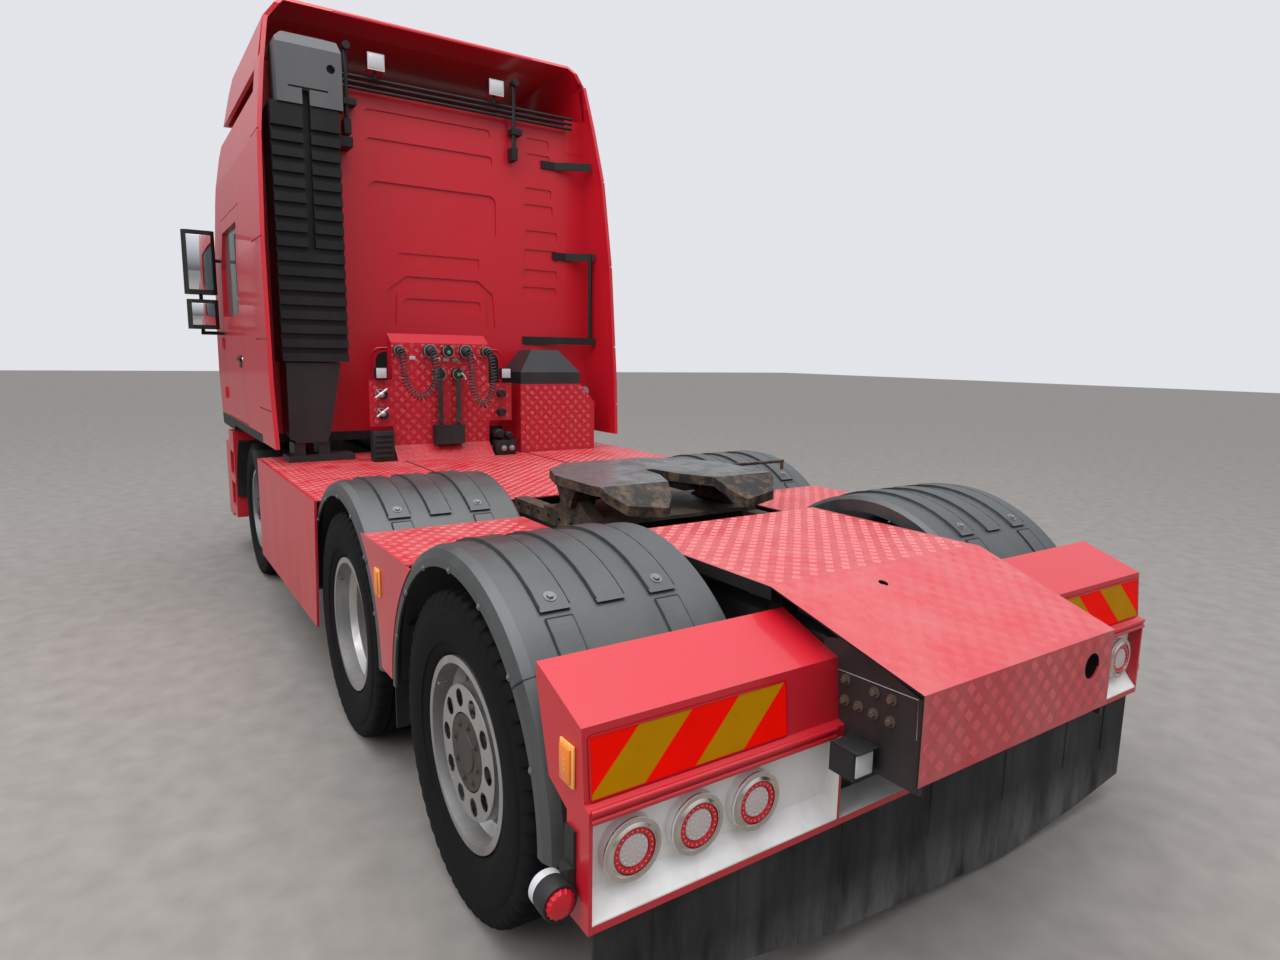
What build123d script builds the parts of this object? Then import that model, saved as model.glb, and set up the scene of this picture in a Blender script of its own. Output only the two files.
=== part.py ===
from build123d import *
import math
import os

os.makedirs("parts", exist_ok=True)

# Three-axle tractor unit, in millimetres.
# +X forward, +Y left, +Z up, the origin on the ground under the middle of the vehicle.

# Lengths along the vehicle
front_overhang = 1365
wheelbase = 3000
bogie_spacing = 1370
tail_overhang = 812
deck_overhang = 250
overall_length = front_overhang + wheelbase + bogie_spacing + tail_overhang + deck_overhang
front_x = overall_length / 2
front_axle_x = front_x - front_overhang
drive_axle_x = front_axle_x - wheelbase
tag_axle_x = drive_axle_x - bogie_spacing
bar_x = tag_axle_x - tail_overhang
tail_x = bar_x - deck_overhang

# Wheels and tyres
tyre_radius = 505
tyre_width = 300
bead_radius = 284
flange_radius = 299
rim_width = 254
rim_wall = 9
tyre_outer_y = 1240
twin_spacing = 345
steer_wheel_y = 1035
disc_wall = 14
hand_hole_count = 10
hand_hole_radius = 27
hand_hole_circle = 206
hub_radius = 118
hub_bore = 46
spindle_gap = 0.3
axle_z = tyre_radius
rear_wheel_y = tyre_outer_y - tyre_width / 2

# Frame
rail_half_width = 430
rail_top = 960
rail_height = 266
rail_flange = 80
rail_wall = 8
rail_front_x = front_x - 230
tail_plate = 12
cross_member_width = 90

# Steering
kingpin_offset = 150
kingpin_radius = 24
kingpin_y = steer_wheel_y - kingpin_offset
lug_gap = 5

# Rear body
body_half_width = 1266
skirt_wall = 12
guard_outer_y = body_half_width - 16
guard_width = 690
guard_inner_y = guard_outer_y - guard_width
guard_radius = 645
guard_wall = 8
guard_lip = 66
guard_shoulder = 40
deck_z = 1000
deck_wall = 5
deck_half_width = 500
deck_tail_half_width = 455
centre_deck_z = 1071
box_outer_y = body_half_width - 25
bar_bottom_z = 444
bar_ledge_z = 740
box_rear_z = 920
box_front_z = 999
box_depth = 255
lamp_radius = 77
lamp_z = 602
lamp_ys = (box_outer_y - 127, box_outer_y - 314, box_outer_y - 501)

# Fifth wheel
kingpin_x = tag_axle_x + 775
coupling_z = 1200
coupling_plate = 40
coupling_half_width = 465
jaw_radius = 27
coupling_pivot_z = 1105
coupling_pivot_radius = 30
coupling_pivot_y = 385

# Cab
cab_wall = 60
cab_rear_x = front_axle_x - 870
cab_floor_z = 1100
cab_roof_z = 3420
cab_nose_z = 1060
pillar_x = front_axle_x + 830
roof_split_z = 3150
tilt_x = front_x - 158
tilt_z = 1010
tilt_y = 520
tilt_pin_radius = 25
tilt_eye_radius = 42
bumper_wall = 40
bumper_low_z = 300
bumper_top_z = 930
panel_gap = 6
skin = 25
fairing_low_x = cab_rear_x - 468
deflector_z = 3850
door_rear_x = front_axle_x - 250
door_bottom_z = 1170
door_top_z = 2700
glass = 6
grille_half_width = 900
grille_low_z = 1180
grille_top_z = 1820

# Reaches of the cutting boxes, past the vehicle's own size
past_x = 1.2 * front_x
past_y = 1.2 * body_half_width
past_z = 1.2 * deflector_z


def finish(piece, name):
    piece.part.label = name
    export_step(piece.part, f"parts/{name}.step")


def block(x0, x1, y0, y1, z0, z1, mode=Mode.ADD):
    """A box between two corners."""
    with Locations(((x0 + x1) / 2, (y0 + y1) / 2, (z0 + z1) / 2)):
        Box(x1 - x0, y1 - y0, z1 - z0, mode=mode)


def side_plate(points, y_low, y_high, mode=Mode.ADD, inset=0.0, corner=0.0):
    """Extrudes an outline drawn in side view from one Y to another."""
    with BuildSketch(Plane.XZ.offset(-y_high)) as outline:
        with BuildLine():
            Polyline(*points, close=True)
        make_face()
        if corner:
            fillet(outline.vertices(), corner)
        if inset:
            offset(amount=-inset, kind=Kind.INTERSECTION, mode=Mode.REPLACE)
    extrude(outline.sketch, amount=y_high - y_low, mode=mode)


def top_plate(points, z_low, z_high, mode=Mode.ADD, corner=0.0):
    """Extrudes an outline drawn from above from one height to another."""
    with BuildSketch(Plane.XY.offset(z_low)) as outline:
        with BuildLine():
            Polyline(*points, close=True)
        make_face()
        if corner:
            fillet(outline.vertices(), corner)
    extrude(outline.sketch, amount=z_high - z_low, mode=mode)


def rear_plate(points, x_low, x_high, mode=Mode.ADD, inset=0.0, corner=0.0):
    """Extrudes an outline drawn in end view from one X to another."""
    with BuildSketch(Plane.YZ.offset(x_low)) as outline:
        with BuildLine():
            Polyline(*points, close=True)
        make_face()
        if corner:
            fillet(outline.vertices(), corner)
        if inset:
            offset(amount=-inset, kind=Kind.INTERSECTION, mode=Mode.REPLACE)
    extrude(outline.sketch, amount=x_high - x_low, mode=mode)


def across(x, z, radius, y_low, y_high, mode=Mode.ADD):
    """A round bar along Y."""
    with Locations(Location((x, (y_low + y_high) / 2, z), (90, 0, 0))):
        Cylinder(radius, y_high - y_low, mode=mode)


def upright(x, y, radius, z_low, z_high, mode=Mode.ADD):
    """A round bar along Z."""
    with Locations((x, y, (z_low + z_high) / 2)):
        Cylinder(radius, z_high - z_low, mode=mode)


def along(y, z, radius, x_low, x_high, mode=Mode.ADD):
    """A round bar along X."""
    with Locations(Location(((x_low + x_high) / 2, y, z), (0, 90, 0))):
        Cylinder(radius, x_high - x_low, mode=mode)


def spun(points, x, z, mode=Mode.ADD):
    """Revolves a profile of (y, radius) points about the wheel axis at x, z."""
    with BuildSketch(Plane((x, 0, z), x_dir=(0, 1, 0), z_dir=(1, 0, 0))) as profile:
        with BuildLine():
            Polyline(*points, close=True)
        make_face()
    revolve(profile.sketch, axis=Axis((x, 0, z), (0, 1, 0)), mode=mode)


# Frame: two channel rails, cross members and cab tilt brackets
rail_bottom = rail_top - rail_height
tail_plate_low_z = rail_bottom - 42
cross_member_xs = (
    rail_front_x - 60,
    front_axle_x - 700,
    drive_axle_x + 620,
    kingpin_x + 330,
    tag_axle_x + 330,
    bar_x + 60,
)
with BuildPart() as frame:
    for side in (1, -1):
        web = rail_half_width - rail_wall
        low, high = sorted((side * (rail_half_width - rail_flange), side * rail_half_width))
        rail_section = [
            (side * rail_half_width, rail_bottom),
            (side * rail_half_width, rail_top),
            (side * (rail_half_width - rail_flange), rail_top),
            (side * (rail_half_width - rail_flange), rail_top - rail_wall),
            (side * web, rail_top - rail_wall),
            (side * web, rail_bottom + rail_wall),
            (side * (rail_half_width - rail_flange), rail_bottom + rail_wall),
            (side * (rail_half_width - rail_flange), rail_bottom),
        ]
        rear_plate(rail_section, bar_x + 12, rail_front_x)
        bracket_low, bracket_high = sorted((side * (rail_half_width - rail_flange), side * rail_half_width))
        side_plate(
            [
                (tilt_x - 150, rail_top),
                (tilt_x - tilt_eye_radius, tilt_z),
                (tilt_x + tilt_eye_radius, tilt_z),
                (rail_front_x + 40, rail_top - 60),
                (rail_front_x + 40, rail_bottom + 60),
                (tilt_x - 150, rail_bottom + 60),
            ],
            bracket_low,
            bracket_high,
        )
        across(tilt_x, tilt_z, tilt_eye_radius, bracket_low, bracket_high)
        block(rail_front_x, front_x - bumper_wall, bracket_low, bracket_high, rail_bottom, rail_top - 80)
        pin_low, pin_high = sorted((side * (rail_half_width - rail_flange), side * tilt_y))
        across(tilt_x, tilt_z, tilt_pin_radius, pin_low, pin_high)
    for x in cross_member_xs:
        block(
            x - cross_member_width / 2,
            x + cross_member_width / 2,
            -(rail_half_width - rail_wall),
            rail_half_width - rail_wall,
            rail_bottom + 30,
            rail_top - 30,
        )
finish(frame, "frame")

# Tail plates: one on each rail's outer face, carrying the folded tail of the deck
with BuildPart() as tail_plates:
    side_plate(
        [
            (tail_x + deck_wall, tail_plate_low_z),
            (tail_x + deck_wall, box_rear_z - 22),
            (bar_x + 12, rail_top + 20),
            (bar_x + 90, rail_top),
            (bar_x + 90, rail_bottom),
            (bar_x - 60, tail_plate_low_z),
        ],
        rail_half_width,
        rail_half_width + tail_plate,
    )
    mirror(about=Plane.XZ)
finish(tail_plates, "tail_plates")

# Axles: a dropped front beam, the drive axle with its differential, the tag beam and the propeller shaft
beam_drop_z = axle_z - 110
hub_inner_y = rear_wheel_y - 120
with BuildPart() as axles:
    with BuildSketch(Plane.YZ.offset(front_axle_x - 50)) as beam:
        with BuildLine():
            Polyline(
                (kingpin_y, axle_z + 55),
                (kingpin_y, axle_z - 55),
                (kingpin_y - 130, axle_z - 60),
                (rail_half_width + 40, beam_drop_z - 60),
                (-rail_half_width - 40, beam_drop_z - 60),
                (-kingpin_y + 130, axle_z - 60),
                (-kingpin_y, axle_z - 55),
                (-kingpin_y, axle_z + 55),
                (-kingpin_y + 110, axle_z + 50),
                (-rail_half_width - 20, beam_drop_z + 40),
                (rail_half_width + 20, beam_drop_z + 40),
                (kingpin_y - 110, axle_z + 50),
                close=True,
            )
        make_face()
    extrude(beam.sketch, amount=100)
    for side in (1, -1):
        upright(front_axle_x, side * kingpin_y, 52, axle_z - 55, axle_z + 55)
        upright(
            front_axle_x, side * kingpin_y, kingpin_radius + spindle_gap, 0, 2 * axle_z, mode=Mode.SUBTRACT,
        )
    across(drive_axle_x, axle_z, 78, -(hub_inner_y - 245), hub_inner_y - 245)
    with Locations((drive_axle_x, 0, axle_z)):
        Sphere(215)
    across(drive_axle_x, axle_z, 130, -300, 300)
    along(0, axle_z + 40, 60, drive_axle_x, front_axle_x - 600)
    for side in (1, -1):
        low, high = sorted((side * (hub_inner_y - 245), side * (hub_inner_y - 90)))
        across(drive_axle_x, axle_z, hub_bore - spindle_gap, low, high)
        low, high = sorted((side * (hub_inner_y - 2), side * (hub_inner_y + 60)))
        across(tag_axle_x, axle_z, hub_bore - spindle_gap, low, high)
    across(tag_axle_x, axle_z, 70, -(hub_inner_y - 2), hub_inner_y - 2)
finish(axles, "axles")

# Engine block with the gearbox behind it, and the cooler pack ahead of it
engine_low_z = axle_z + 55
cooler_half_width = rail_half_width - rail_flange - spindle_gap
with BuildPart() as engine:
    block(front_axle_x - 600, front_axle_x - 285, -230, 230, axle_z - 60, rail_top - 60)
    fillet(engine.edges().filter_by(Axis.X), 50)
    block(front_axle_x - 285, front_axle_x + 860, -320, 320, engine_low_z, cab_nose_z - 15)
    block(
        front_axle_x + 885,
        front_axle_x + 985,
        -cooler_half_width,
        cooler_half_width,
        rail_bottom - 90,
        cab_nose_z - 15,
    )
finish(engine, "engine")

# Springs: two front leaf packs with hangers, and trailing arms with air bellows on the rear axles
spring_y = rail_half_width - rail_flange / 2
spring_half = 35
front_spring_z = beam_drop_z + 40
trailing_axles = ((drive_axle_x, 78), (tag_axle_x, 70))
with BuildPart() as springs:
    for side in (1, -1):
        low, high = side * spring_y - spring_half, side * spring_y + spring_half
        fx = front_axle_x
        side_plate(
            [
                (fx - 840, rail_bottom),
                (fx - 840, front_spring_z + 150),
                (fx - 400, front_spring_z + 45),
                (fx - 100, front_spring_z),
                (fx + 100, front_spring_z),
                (fx + 400, front_spring_z + 45),
                (fx + 840, front_spring_z + 150),
                (fx + 840, rail_bottom),
                (fx + 760, rail_bottom),
                (fx + 740, front_spring_z + 175),
                (fx + 400, front_spring_z + 90),
                (fx + 100, front_spring_z + 60),
                (fx - 100, front_spring_z + 60),
                (fx - 400, front_spring_z + 90),
                (fx - 740, front_spring_z + 175),
                (fx - 760, rail_bottom),
            ],
            low,
            high,
        )
        for x, tube in trailing_axles:
            top = axle_z - tube - spindle_gap
            side_plate(
                [
                    (x + 640, rail_bottom),
                    (x + 560, rail_bottom),
                    (x + 550, rail_bottom - 70),
                    (x + 200, top),
                    (x - 480, top),
                    (x - 480, top - 50),
                    (x + 180, top - 50),
                    (x + 600, rail_bottom - 140),
                    (x + 640, rail_bottom - 100),
                ],
                low,
                high,
            )
            upright(x - 390, side * spring_y, 125, top, rail_bottom)
finish(springs, "springs")

# Bumper: a shell open to the rear, with intake slots and headlamp pockets
bumper_return_x = front_x - 480
bumper_outline = [
    (bumper_return_x, 1240),
    (front_x - 260, 1240),
    (front_x - 60, 1060),
    (front_x, 700),
    (front_x, -700),
    (front_x - 60, -1060),
    (front_x - 260, -1240),
    (bumper_return_x, -1240),
]
bumper_inner = [
    (bumper_return_x, 1240 - bumper_wall),
    (front_x - 275, 1240 - bumper_wall),
    (front_x - 60 - bumper_wall, 1060 - bumper_wall),
    (front_x - bumper_wall, 700),
    (front_x - bumper_wall, -700),
    (front_x - 60 - bumper_wall, -1060 + bumper_wall),
    (front_x - 275, -1240 + bumper_wall),
    (bumper_return_x, -1240 + bumper_wall),
]
lamp_low_y, lamp_high_y = 800, 1215
lamp_low_z, lamp_high_z = 640, 860
with BuildPart() as bumper:
    top_plate(bumper_outline, bumper_low_z, bumper_top_z)
    top_plate(bumper_inner, bumper_low_z, bumper_top_z, mode=Mode.SUBTRACT)
    for z in (400, 470, 540):
        block(front_x - 200, front_x + 10, -620, 620, z, z + 40, mode=Mode.SUBTRACT)
    for side in (1, -1):
        low, high = sorted((side * lamp_low_y, side * lamp_high_y))
        block(front_x - 400, front_x + 10, low, high, lamp_low_z, lamp_high_z, mode=Mode.SUBTRACT)
finish(bumper, "bumper")

with BuildPart() as headlamps:
    top_plate(bumper_outline, lamp_low_z, lamp_high_z)
    top_plate(bumper_inner, lamp_low_z, lamp_high_z, mode=Mode.SUBTRACT)
    block(0, past_x, -lamp_low_y, lamp_low_y, 0, past_z, mode=Mode.SUBTRACT)
    block(0, front_x - 240, -past_y, past_y, 0, past_z, mode=Mode.SUBTRACT)
    block(0, past_x, lamp_high_y, past_y, 0, past_z, mode=Mode.SUBTRACT)
    block(0, past_x, -past_y, -lamp_high_y, 0, past_z, mode=Mode.SUBTRACT)
finish(headlamps, "headlamps")

# Entry steps ahead of the front wheels, on an outrigger from each rail
step_rear_x = front_axle_x + 620
step_front_x = bumper_return_x - 2
with BuildPart() as entry_steps:
    block(step_rear_x, step_front_x, 880, 1240, 330, 1040)
    for z in (420, 680):
        block(step_rear_x + 20, step_front_x - 20, 1010, 1300, z, z + 190, mode=Mode.SUBTRACT)
    block(step_rear_x + 90, step_rear_x + 150, rail_half_width, 880, rail_bottom + 40, rail_bottom + 110)
    mirror(about=Plane.XZ)
finish(entry_steps, "entry_steps")

# Front wheel arches: two quarter shells on each side
arch_radius = 600
with BuildPart() as front_arches:
    across(front_axle_x, axle_z, arch_radius + 10, 860, 1232)
    across(front_axle_x, axle_z, arch_radius, 800, 1300, mode=Mode.SUBTRACT)
    block(front_axle_x - 700, front_axle_x + 700, 800, 1300, -200, axle_z, mode=Mode.SUBTRACT)
    block(front_axle_x - 360, front_axle_x + 360, 800, 1300, axle_z, 1300, mode=Mode.SUBTRACT)
    block(front_axle_x + arch_radius + 4, step_rear_x, 900, 1180, axle_z, axle_z + 60)
    arch_stay = (arch_radius + 27, math.radians(150))
    across(
        front_axle_x + arch_stay[0] * math.cos(arch_stay[1]),
        axle_z + arch_stay[0] * math.sin(arch_stay[1]),
        18,
        rail_half_width,
        1000,
    )
    mirror(about=Plane.XZ)
finish(front_arches, "front_arches")

# Side skirts, the deck behind the cab and the filler panels between the mudguards
skirt_front_x = front_axle_x - 840
skirt_rear_top_x = drive_axle_x + 406
skirt_rear_low_x = drive_axle_x + 480
skirt_low_z = 351
skirt_inner_y = body_half_width - skirt_wall
with BuildPart() as side_skirts:
    side_plate(
        [
            (skirt_front_x, skirt_low_z),
            (skirt_front_x, deck_z),
            (skirt_rear_top_x, deck_z),
            (skirt_rear_low_x, skirt_low_z),
        ],
        skirt_inner_y,
        body_half_width,
    )
    mirror(about=Plane.XZ)
finish(side_skirts, "side_skirts")

filler_z = 1005
filler_half = math.sqrt(guard_radius**2 - (filler_z - deck_wall - axle_z) ** 2) + spindle_gap
deck_rear_x = drive_axle_x + filler_half + 8
notch_half_width = guard_inner_y - 20


def guard_infill(low, high):
    """The upright panel that closes the side between the two guards."""
    with BuildPart() as panel:
        block(tag_axle_x + 200, drive_axle_x - 200, low, high, axle_z + 20, filler_z - deck_wall)
        for axle_x in (drive_axle_x, tag_axle_x):
            reach = guard_radius - guard_shoulder + 12 + spindle_gap
            across(axle_x, axle_z, reach, low - 1, high + 1, mode=Mode.SUBTRACT)
    return panel.part


with BuildPart() as deck_plates:
    top_plate(
        [
            (skirt_front_x, skirt_inner_y),
            (deck_rear_x, skirt_inner_y),
            (deck_rear_x, notch_half_width),
            (drive_axle_x + 20, notch_half_width),
            (drive_axle_x + 20, -notch_half_width),
            (deck_rear_x, -notch_half_width),
            (deck_rear_x, -skirt_inner_y),
            (skirt_front_x, -skirt_inner_y),
        ],
        deck_z - deck_wall,
        deck_z,
    )
    for side in (1, -1):
        block(
            drive_axle_x + 40,
            skirt_front_x - 40,
            side * spring_y - 30,
            side * spring_y + 30,
            rail_top,
            deck_z - deck_wall,
        )
        low, high = sorted((side * guard_inner_y, side * guard_outer_y))
        block(
            tag_axle_x + filler_half,
            drive_axle_x - filler_half,
            low,
            high,
            filler_z - deck_wall,
            filler_z,
        )
        low, high = sorted((side * (guard_outer_y - deck_wall), side * guard_outer_y))
        add(guard_infill(low, high))
finish(deck_plates, "deck_plates")

# Mudguards: half-round shells with a rounded shoulder, a folded lip, raised bands and two stays to the rail
band_height = 9
band_half = 47
band_half_angle = 33
band_ys = (guard_outer_y - 163, guard_outer_y - 337, guard_outer_y - 513)
stay_radius = 20
stay_reach = guard_radius - guard_wall - stay_radius + 3
guard_edge = 16
guard_section = [
    (guard_inner_y + guard_wall, guard_radius - guard_lip),
    (guard_inner_y, guard_radius - guard_lip),
    (guard_inner_y, guard_radius - guard_edge),
    (guard_inner_y + guard_edge, guard_radius),
    (guard_outer_y - guard_shoulder, guard_radius),
    (guard_outer_y - 0.3 * guard_shoulder, guard_radius - 0.3 * guard_shoulder),
    (guard_outer_y, guard_radius - guard_shoulder),
    (guard_outer_y, guard_radius - guard_lip),
    (guard_outer_y - guard_wall, guard_radius - guard_lip),
    (guard_outer_y - guard_wall, guard_radius - guard_shoulder),
    (guard_outer_y - guard_shoulder, guard_radius - guard_wall),
    (guard_inner_y + guard_edge, guard_radius - guard_wall),
    (guard_inner_y + guard_wall, guard_radius - guard_edge),
]


def guard_bands(axle_x):
    """The raised bands over a guard's crown."""
    with BuildPart() as bands:
        for band_y in band_ys:
            across(axle_x, axle_z, guard_radius + band_height, band_y - band_half, band_y + band_half)
        across(axle_x, axle_z, guard_radius - guard_wall / 2, 0, past_y, mode=Mode.SUBTRACT)
        band_low_z = axle_z + guard_radius * math.cos(math.radians(band_half_angle))
        block(-past_x, past_x, 0, past_y, -past_z, band_low_z, mode=Mode.SUBTRACT)
    return bands.part


with BuildPart() as mudguards:
    for axle_x in (drive_axle_x, tag_axle_x):
        spun(guard_section, axle_x, axle_z)
        add(guard_bands(axle_x))
    block(-past_x, past_x, 0, past_y, -past_z, axle_z, mode=Mode.SUBTRACT)
    for axle_x in (drive_axle_x, tag_axle_x):
        for angle in (20, 160):
            across(
                axle_x + stay_reach * math.cos(math.radians(angle)),
                axle_z + stay_reach * math.sin(math.radians(angle)),
                stay_radius,
                rail_half_width,
                guard_outer_y - 60,
            )
    mirror(about=Plane.XZ)
finish(mudguards, "mudguards")

# Centre deck over the tail: flat, then bent down to an upright tail face, on four posts
deck_front_x = kingpin_x - 530
bend_x = bar_x + 248
tail_face_low_z = 680
deck_fold = 40
deck_profile = [
    (deck_front_x, centre_deck_z),
    (bend_x, centre_deck_z),
    (tail_x, box_rear_z + 1),
    (tail_x, tail_face_low_z),
    (tail_x + deck_wall, tail_face_low_z),
    (tail_x + deck_wall, box_rear_z + 1 - deck_wall),
    (bend_x, centre_deck_z - deck_wall),
    (deck_front_x, centre_deck_z - deck_wall),
]
with BuildPart() as centre_deck:
    side_plate(deck_profile, -deck_half_width, deck_half_width)
    for side in (1, -1):
        top_plate(
            [
                (bend_x, side * deck_half_width),
                (tail_x - 1, side * deck_tail_half_width),
                (tail_x - 1, side * (deck_half_width + 1)),
                (bend_x, side * (deck_half_width + 1)),
            ],
            0,
            past_z,
            mode=Mode.SUBTRACT,
        )
        low, high = sorted((side * (deck_half_width - deck_wall), side * deck_half_width))
        block(bend_x, deck_front_x, low, high, centre_deck_z - deck_fold, centre_deck_z - deck_wall)
        for x in (deck_front_x - 60, bend_x + 60):
            block(
                x - 30,
                x + 30,
                side * spring_y - 30,
                side * spring_y + 30,
                rail_top,
                centre_deck_z - deck_wall,
            )
    along(114 - deck_tail_half_width, 828, 40, tail_x - 20, tail_x + 20, mode=Mode.SUBTRACT)
    upright(bend_x - 82, 113, 15, rail_top, past_z, mode=Mode.SUBTRACT)
finish(centre_deck, "centre_deck")

# Light bar: two lamp boxes with sloped tops on one lower bar, each with a recess for its lamps
box_inner_y = rail_half_width + tail_plate
bar_depth = 100
bar_sheet = 10
recess_depth = 50
panel_wall = 4
panel_low_z = bar_bottom_z + 20
panel_slope_z = panel_low_z + 54
panel_high_z = bar_ledge_z - 31
panel_inner_y, panel_outer_y = box_inner_y + bar_sheet, box_outer_y - bar_sheet
panel_x = bar_x + recess_depth - panel_wall
with BuildPart() as light_bar:
    side_plate(
        [
            (bar_x, bar_bottom_z),
            (bar_x, bar_ledge_z),
            (bar_x + 22, bar_ledge_z + 8),
            (bar_x + 37, box_rear_z),
            (bar_x + box_depth, box_front_z),
            (bar_x + box_depth, box_front_z - 40),
            (bar_x + 190, bar_ledge_z),
            (bar_x + bar_depth, bar_ledge_z - 40),
            (bar_x + bar_depth, bar_bottom_z),
        ],
        box_inner_y,
        box_outer_y,
    )
    side_plate(
        [
            (bar_x - 10, panel_low_z),
            (bar_x, panel_low_z),
            (bar_x + recess_depth, panel_slope_z),
            (bar_x + recess_depth, panel_high_z),
            (bar_x - 10, panel_high_z),
        ],
        panel_inner_y,
        panel_outer_y,
        mode=Mode.SUBTRACT,
    )
    block(bar_x, bar_x + bar_depth, 0, box_inner_y, bar_bottom_z, panel_low_z)
    mirror(about=Plane.XZ)
finish(light_bar, "light_bar")

with BuildPart() as lamp_panels:
    side_plate(
        [
            (bar_x, panel_low_z),
            (bar_x + recess_depth, panel_slope_z),
            (bar_x + recess_depth, panel_high_z),
            (panel_x, panel_high_z),
            (panel_x, panel_slope_z + panel_wall),
            (bar_x, panel_low_z + panel_wall),
        ],
        panel_inner_y,
        panel_outer_y,
    )
    mirror(about=Plane.XZ)
finish(lamp_panels, "lamp_panels")

bezel_x = bar_x + 12
with BuildPart() as round_lamps:
    for lamp_y in lamp_ys:
        along(lamp_y, lamp_z, lamp_radius, bezel_x, panel_x)
        along(lamp_y, lamp_z, lamp_radius - 11, bezel_x - 1, bezel_x + 7, mode=Mode.SUBTRACT)
    mirror(about=Plane.XZ)
finish(round_lamps, "round_lamps")

# Corner markers on rubber arms under brackets, and one square work lamp on the left tail plate
marker_x = bar_x + bar_depth - 24
marker_y = box_outer_y + 49
marker_z = bar_bottom_z + 76
work_lamp_x = bar_x - 113
with BuildPart() as marker_lamps:
    block(marker_x - 22, marker_x + 22, box_outer_y, box_outer_y + 8, marker_z + 54, marker_z + 149)
    side_plate(
        [
            (marker_x - 18, marker_z + 60),
            (marker_x + 18, marker_z + 60),
            (marker_x + 24, marker_z),
            (marker_x - 24, marker_z),
        ],
        box_outer_y + 4,
        box_outer_y + 22,
    )
    across(marker_x, marker_z, 24, box_outer_y + 4, marker_y)
    along(marker_y, marker_z, 42, marker_x - 36, marker_x + 36)
    mirror(about=Plane.XZ)
    across(work_lamp_x + 55, 690, 12, box_inner_y, box_inner_y + 30)
    block(work_lamp_x, work_lamp_x + 80, box_inner_y + 12, box_inner_y + 91, 653, 731)
finish(marker_lamps, "marker_lamps")

# Mudflaps: one across the tail with a worn lower edge, and a short one behind each drive wheel
flap_wall = 8
flap_half_width = body_half_width - 51
drive_flap_x = drive_axle_x - math.sqrt((guard_radius - guard_wall) ** 2 - 55**2) + spindle_gap
drive_flap_outer_y = guard_outer_y - guard_shoulder - 6
with BuildPart() as mud_flaps:
    rear_plate(
        [
            (flap_half_width, bar_bottom_z),
            (flap_half_width, 165),
            (760, 154),
            (420, 84),
            (0, 48),
            (-440, 14),
            (-900, 52),
            (-flap_half_width, 96),
            (-flap_half_width, bar_bottom_z),
        ],
        bar_x + 20,
        bar_x + 20 + flap_wall,
    )
    for side in (1, -1):
        low, high = sorted((side * (guard_inner_y + 20), side * drive_flap_outer_y))
        block(drive_flap_x, drive_flap_x + flap_wall, low, high, 270, axle_z + 55)
finish(mud_flaps, "mud_flaps")

# Fifth wheel base: two rails on the frame, a cross plate and two pivot stands
base_rail_height = 60
base_plate = 16
base_z = rail_top + base_rail_height
with BuildPart() as coupling_base:
    for side in (1, -1):
        block(
            kingpin_x - 370,
            kingpin_x + 560,
            side * spring_y - 38,
            side * spring_y + 38,
            rail_top,
            base_z,
        )
        side_plate(
            [
                (kingpin_x - 170, base_z + base_plate),
                (kingpin_x - 45, coupling_pivot_z),
                (kingpin_x + 45, coupling_pivot_z),
                (kingpin_x + 170, base_z + base_plate),
            ],
            side * coupling_pivot_y - 30,
            side * coupling_pivot_y + 30,
        )
        across(
            kingpin_x,
            coupling_pivot_z,
            45,
            side * coupling_pivot_y - 30,
            side * coupling_pivot_y + 30,
        )
    for step in range(9):
        across(
            kingpin_x - 330 + 105 * step,
            rail_top + base_rail_height / 2,
            13,
            -rail_half_width - 1,
            rail_half_width + 1,
            mode=Mode.SUBTRACT,
        )
    block(kingpin_x - 240, kingpin_x + 240, -rail_half_width, rail_half_width, base_z, base_z + base_plate)
    across(kingpin_x, coupling_pivot_z, coupling_pivot_radius + spindle_gap, -500, 500, mode=Mode.SUBTRACT)
finish(coupling_base, "coupling_base")

# Fifth wheel plate: a horseshoe with a flared throat, ramps and pivot ears
throat_half = 190
plate_outline = [
    (kingpin_x + 390, 230),
    (kingpin_x + 230, coupling_half_width - 60),
    (kingpin_x + 60, coupling_half_width),
    (kingpin_x - 240, coupling_half_width),
    (kingpin_x - 330, coupling_half_width - 20),
    (kingpin_x - 400, coupling_half_width - 80),
    (kingpin_x - 430, throat_half + 20),
    (kingpin_x - 380, throat_half - 30),
    (kingpin_x - 130, 45),
    (kingpin_x, jaw_radius),
    (kingpin_x, -jaw_radius),
    (kingpin_x - 130, -45),
    (kingpin_x - 380, 30 - throat_half),
    (kingpin_x - 430, -throat_half - 20),
    (kingpin_x - 400, 80 - coupling_half_width),
    (kingpin_x - 330, 20 - coupling_half_width),
    (kingpin_x - 240, -coupling_half_width),
    (kingpin_x + 60, -coupling_half_width),
    (kingpin_x + 230, -coupling_half_width + 60),
    (kingpin_x + 390, -230),
]
ramp_x = kingpin_x - 300
ramp_end_x = kingpin_x - 430
ramp_drop = 84


def plate_ramps():
    """The two rear ramps: the plate's outline cut by a slab that slopes down to the rear."""
    with BuildPart() as ramps:
        top_plate(plate_outline, coupling_z - ramp_drop - coupling_plate, coupling_z)
        side_plate(
            [
                (ramp_x, coupling_z),
                (ramp_end_x, coupling_z - ramp_drop),
                (ramp_end_x, coupling_z - ramp_drop - coupling_plate),
                (ramp_x, coupling_z - coupling_plate),
            ],
            -past_y,
            past_y,
            mode=Mode.INTERSECT,
        )
    return ramps.part


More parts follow.
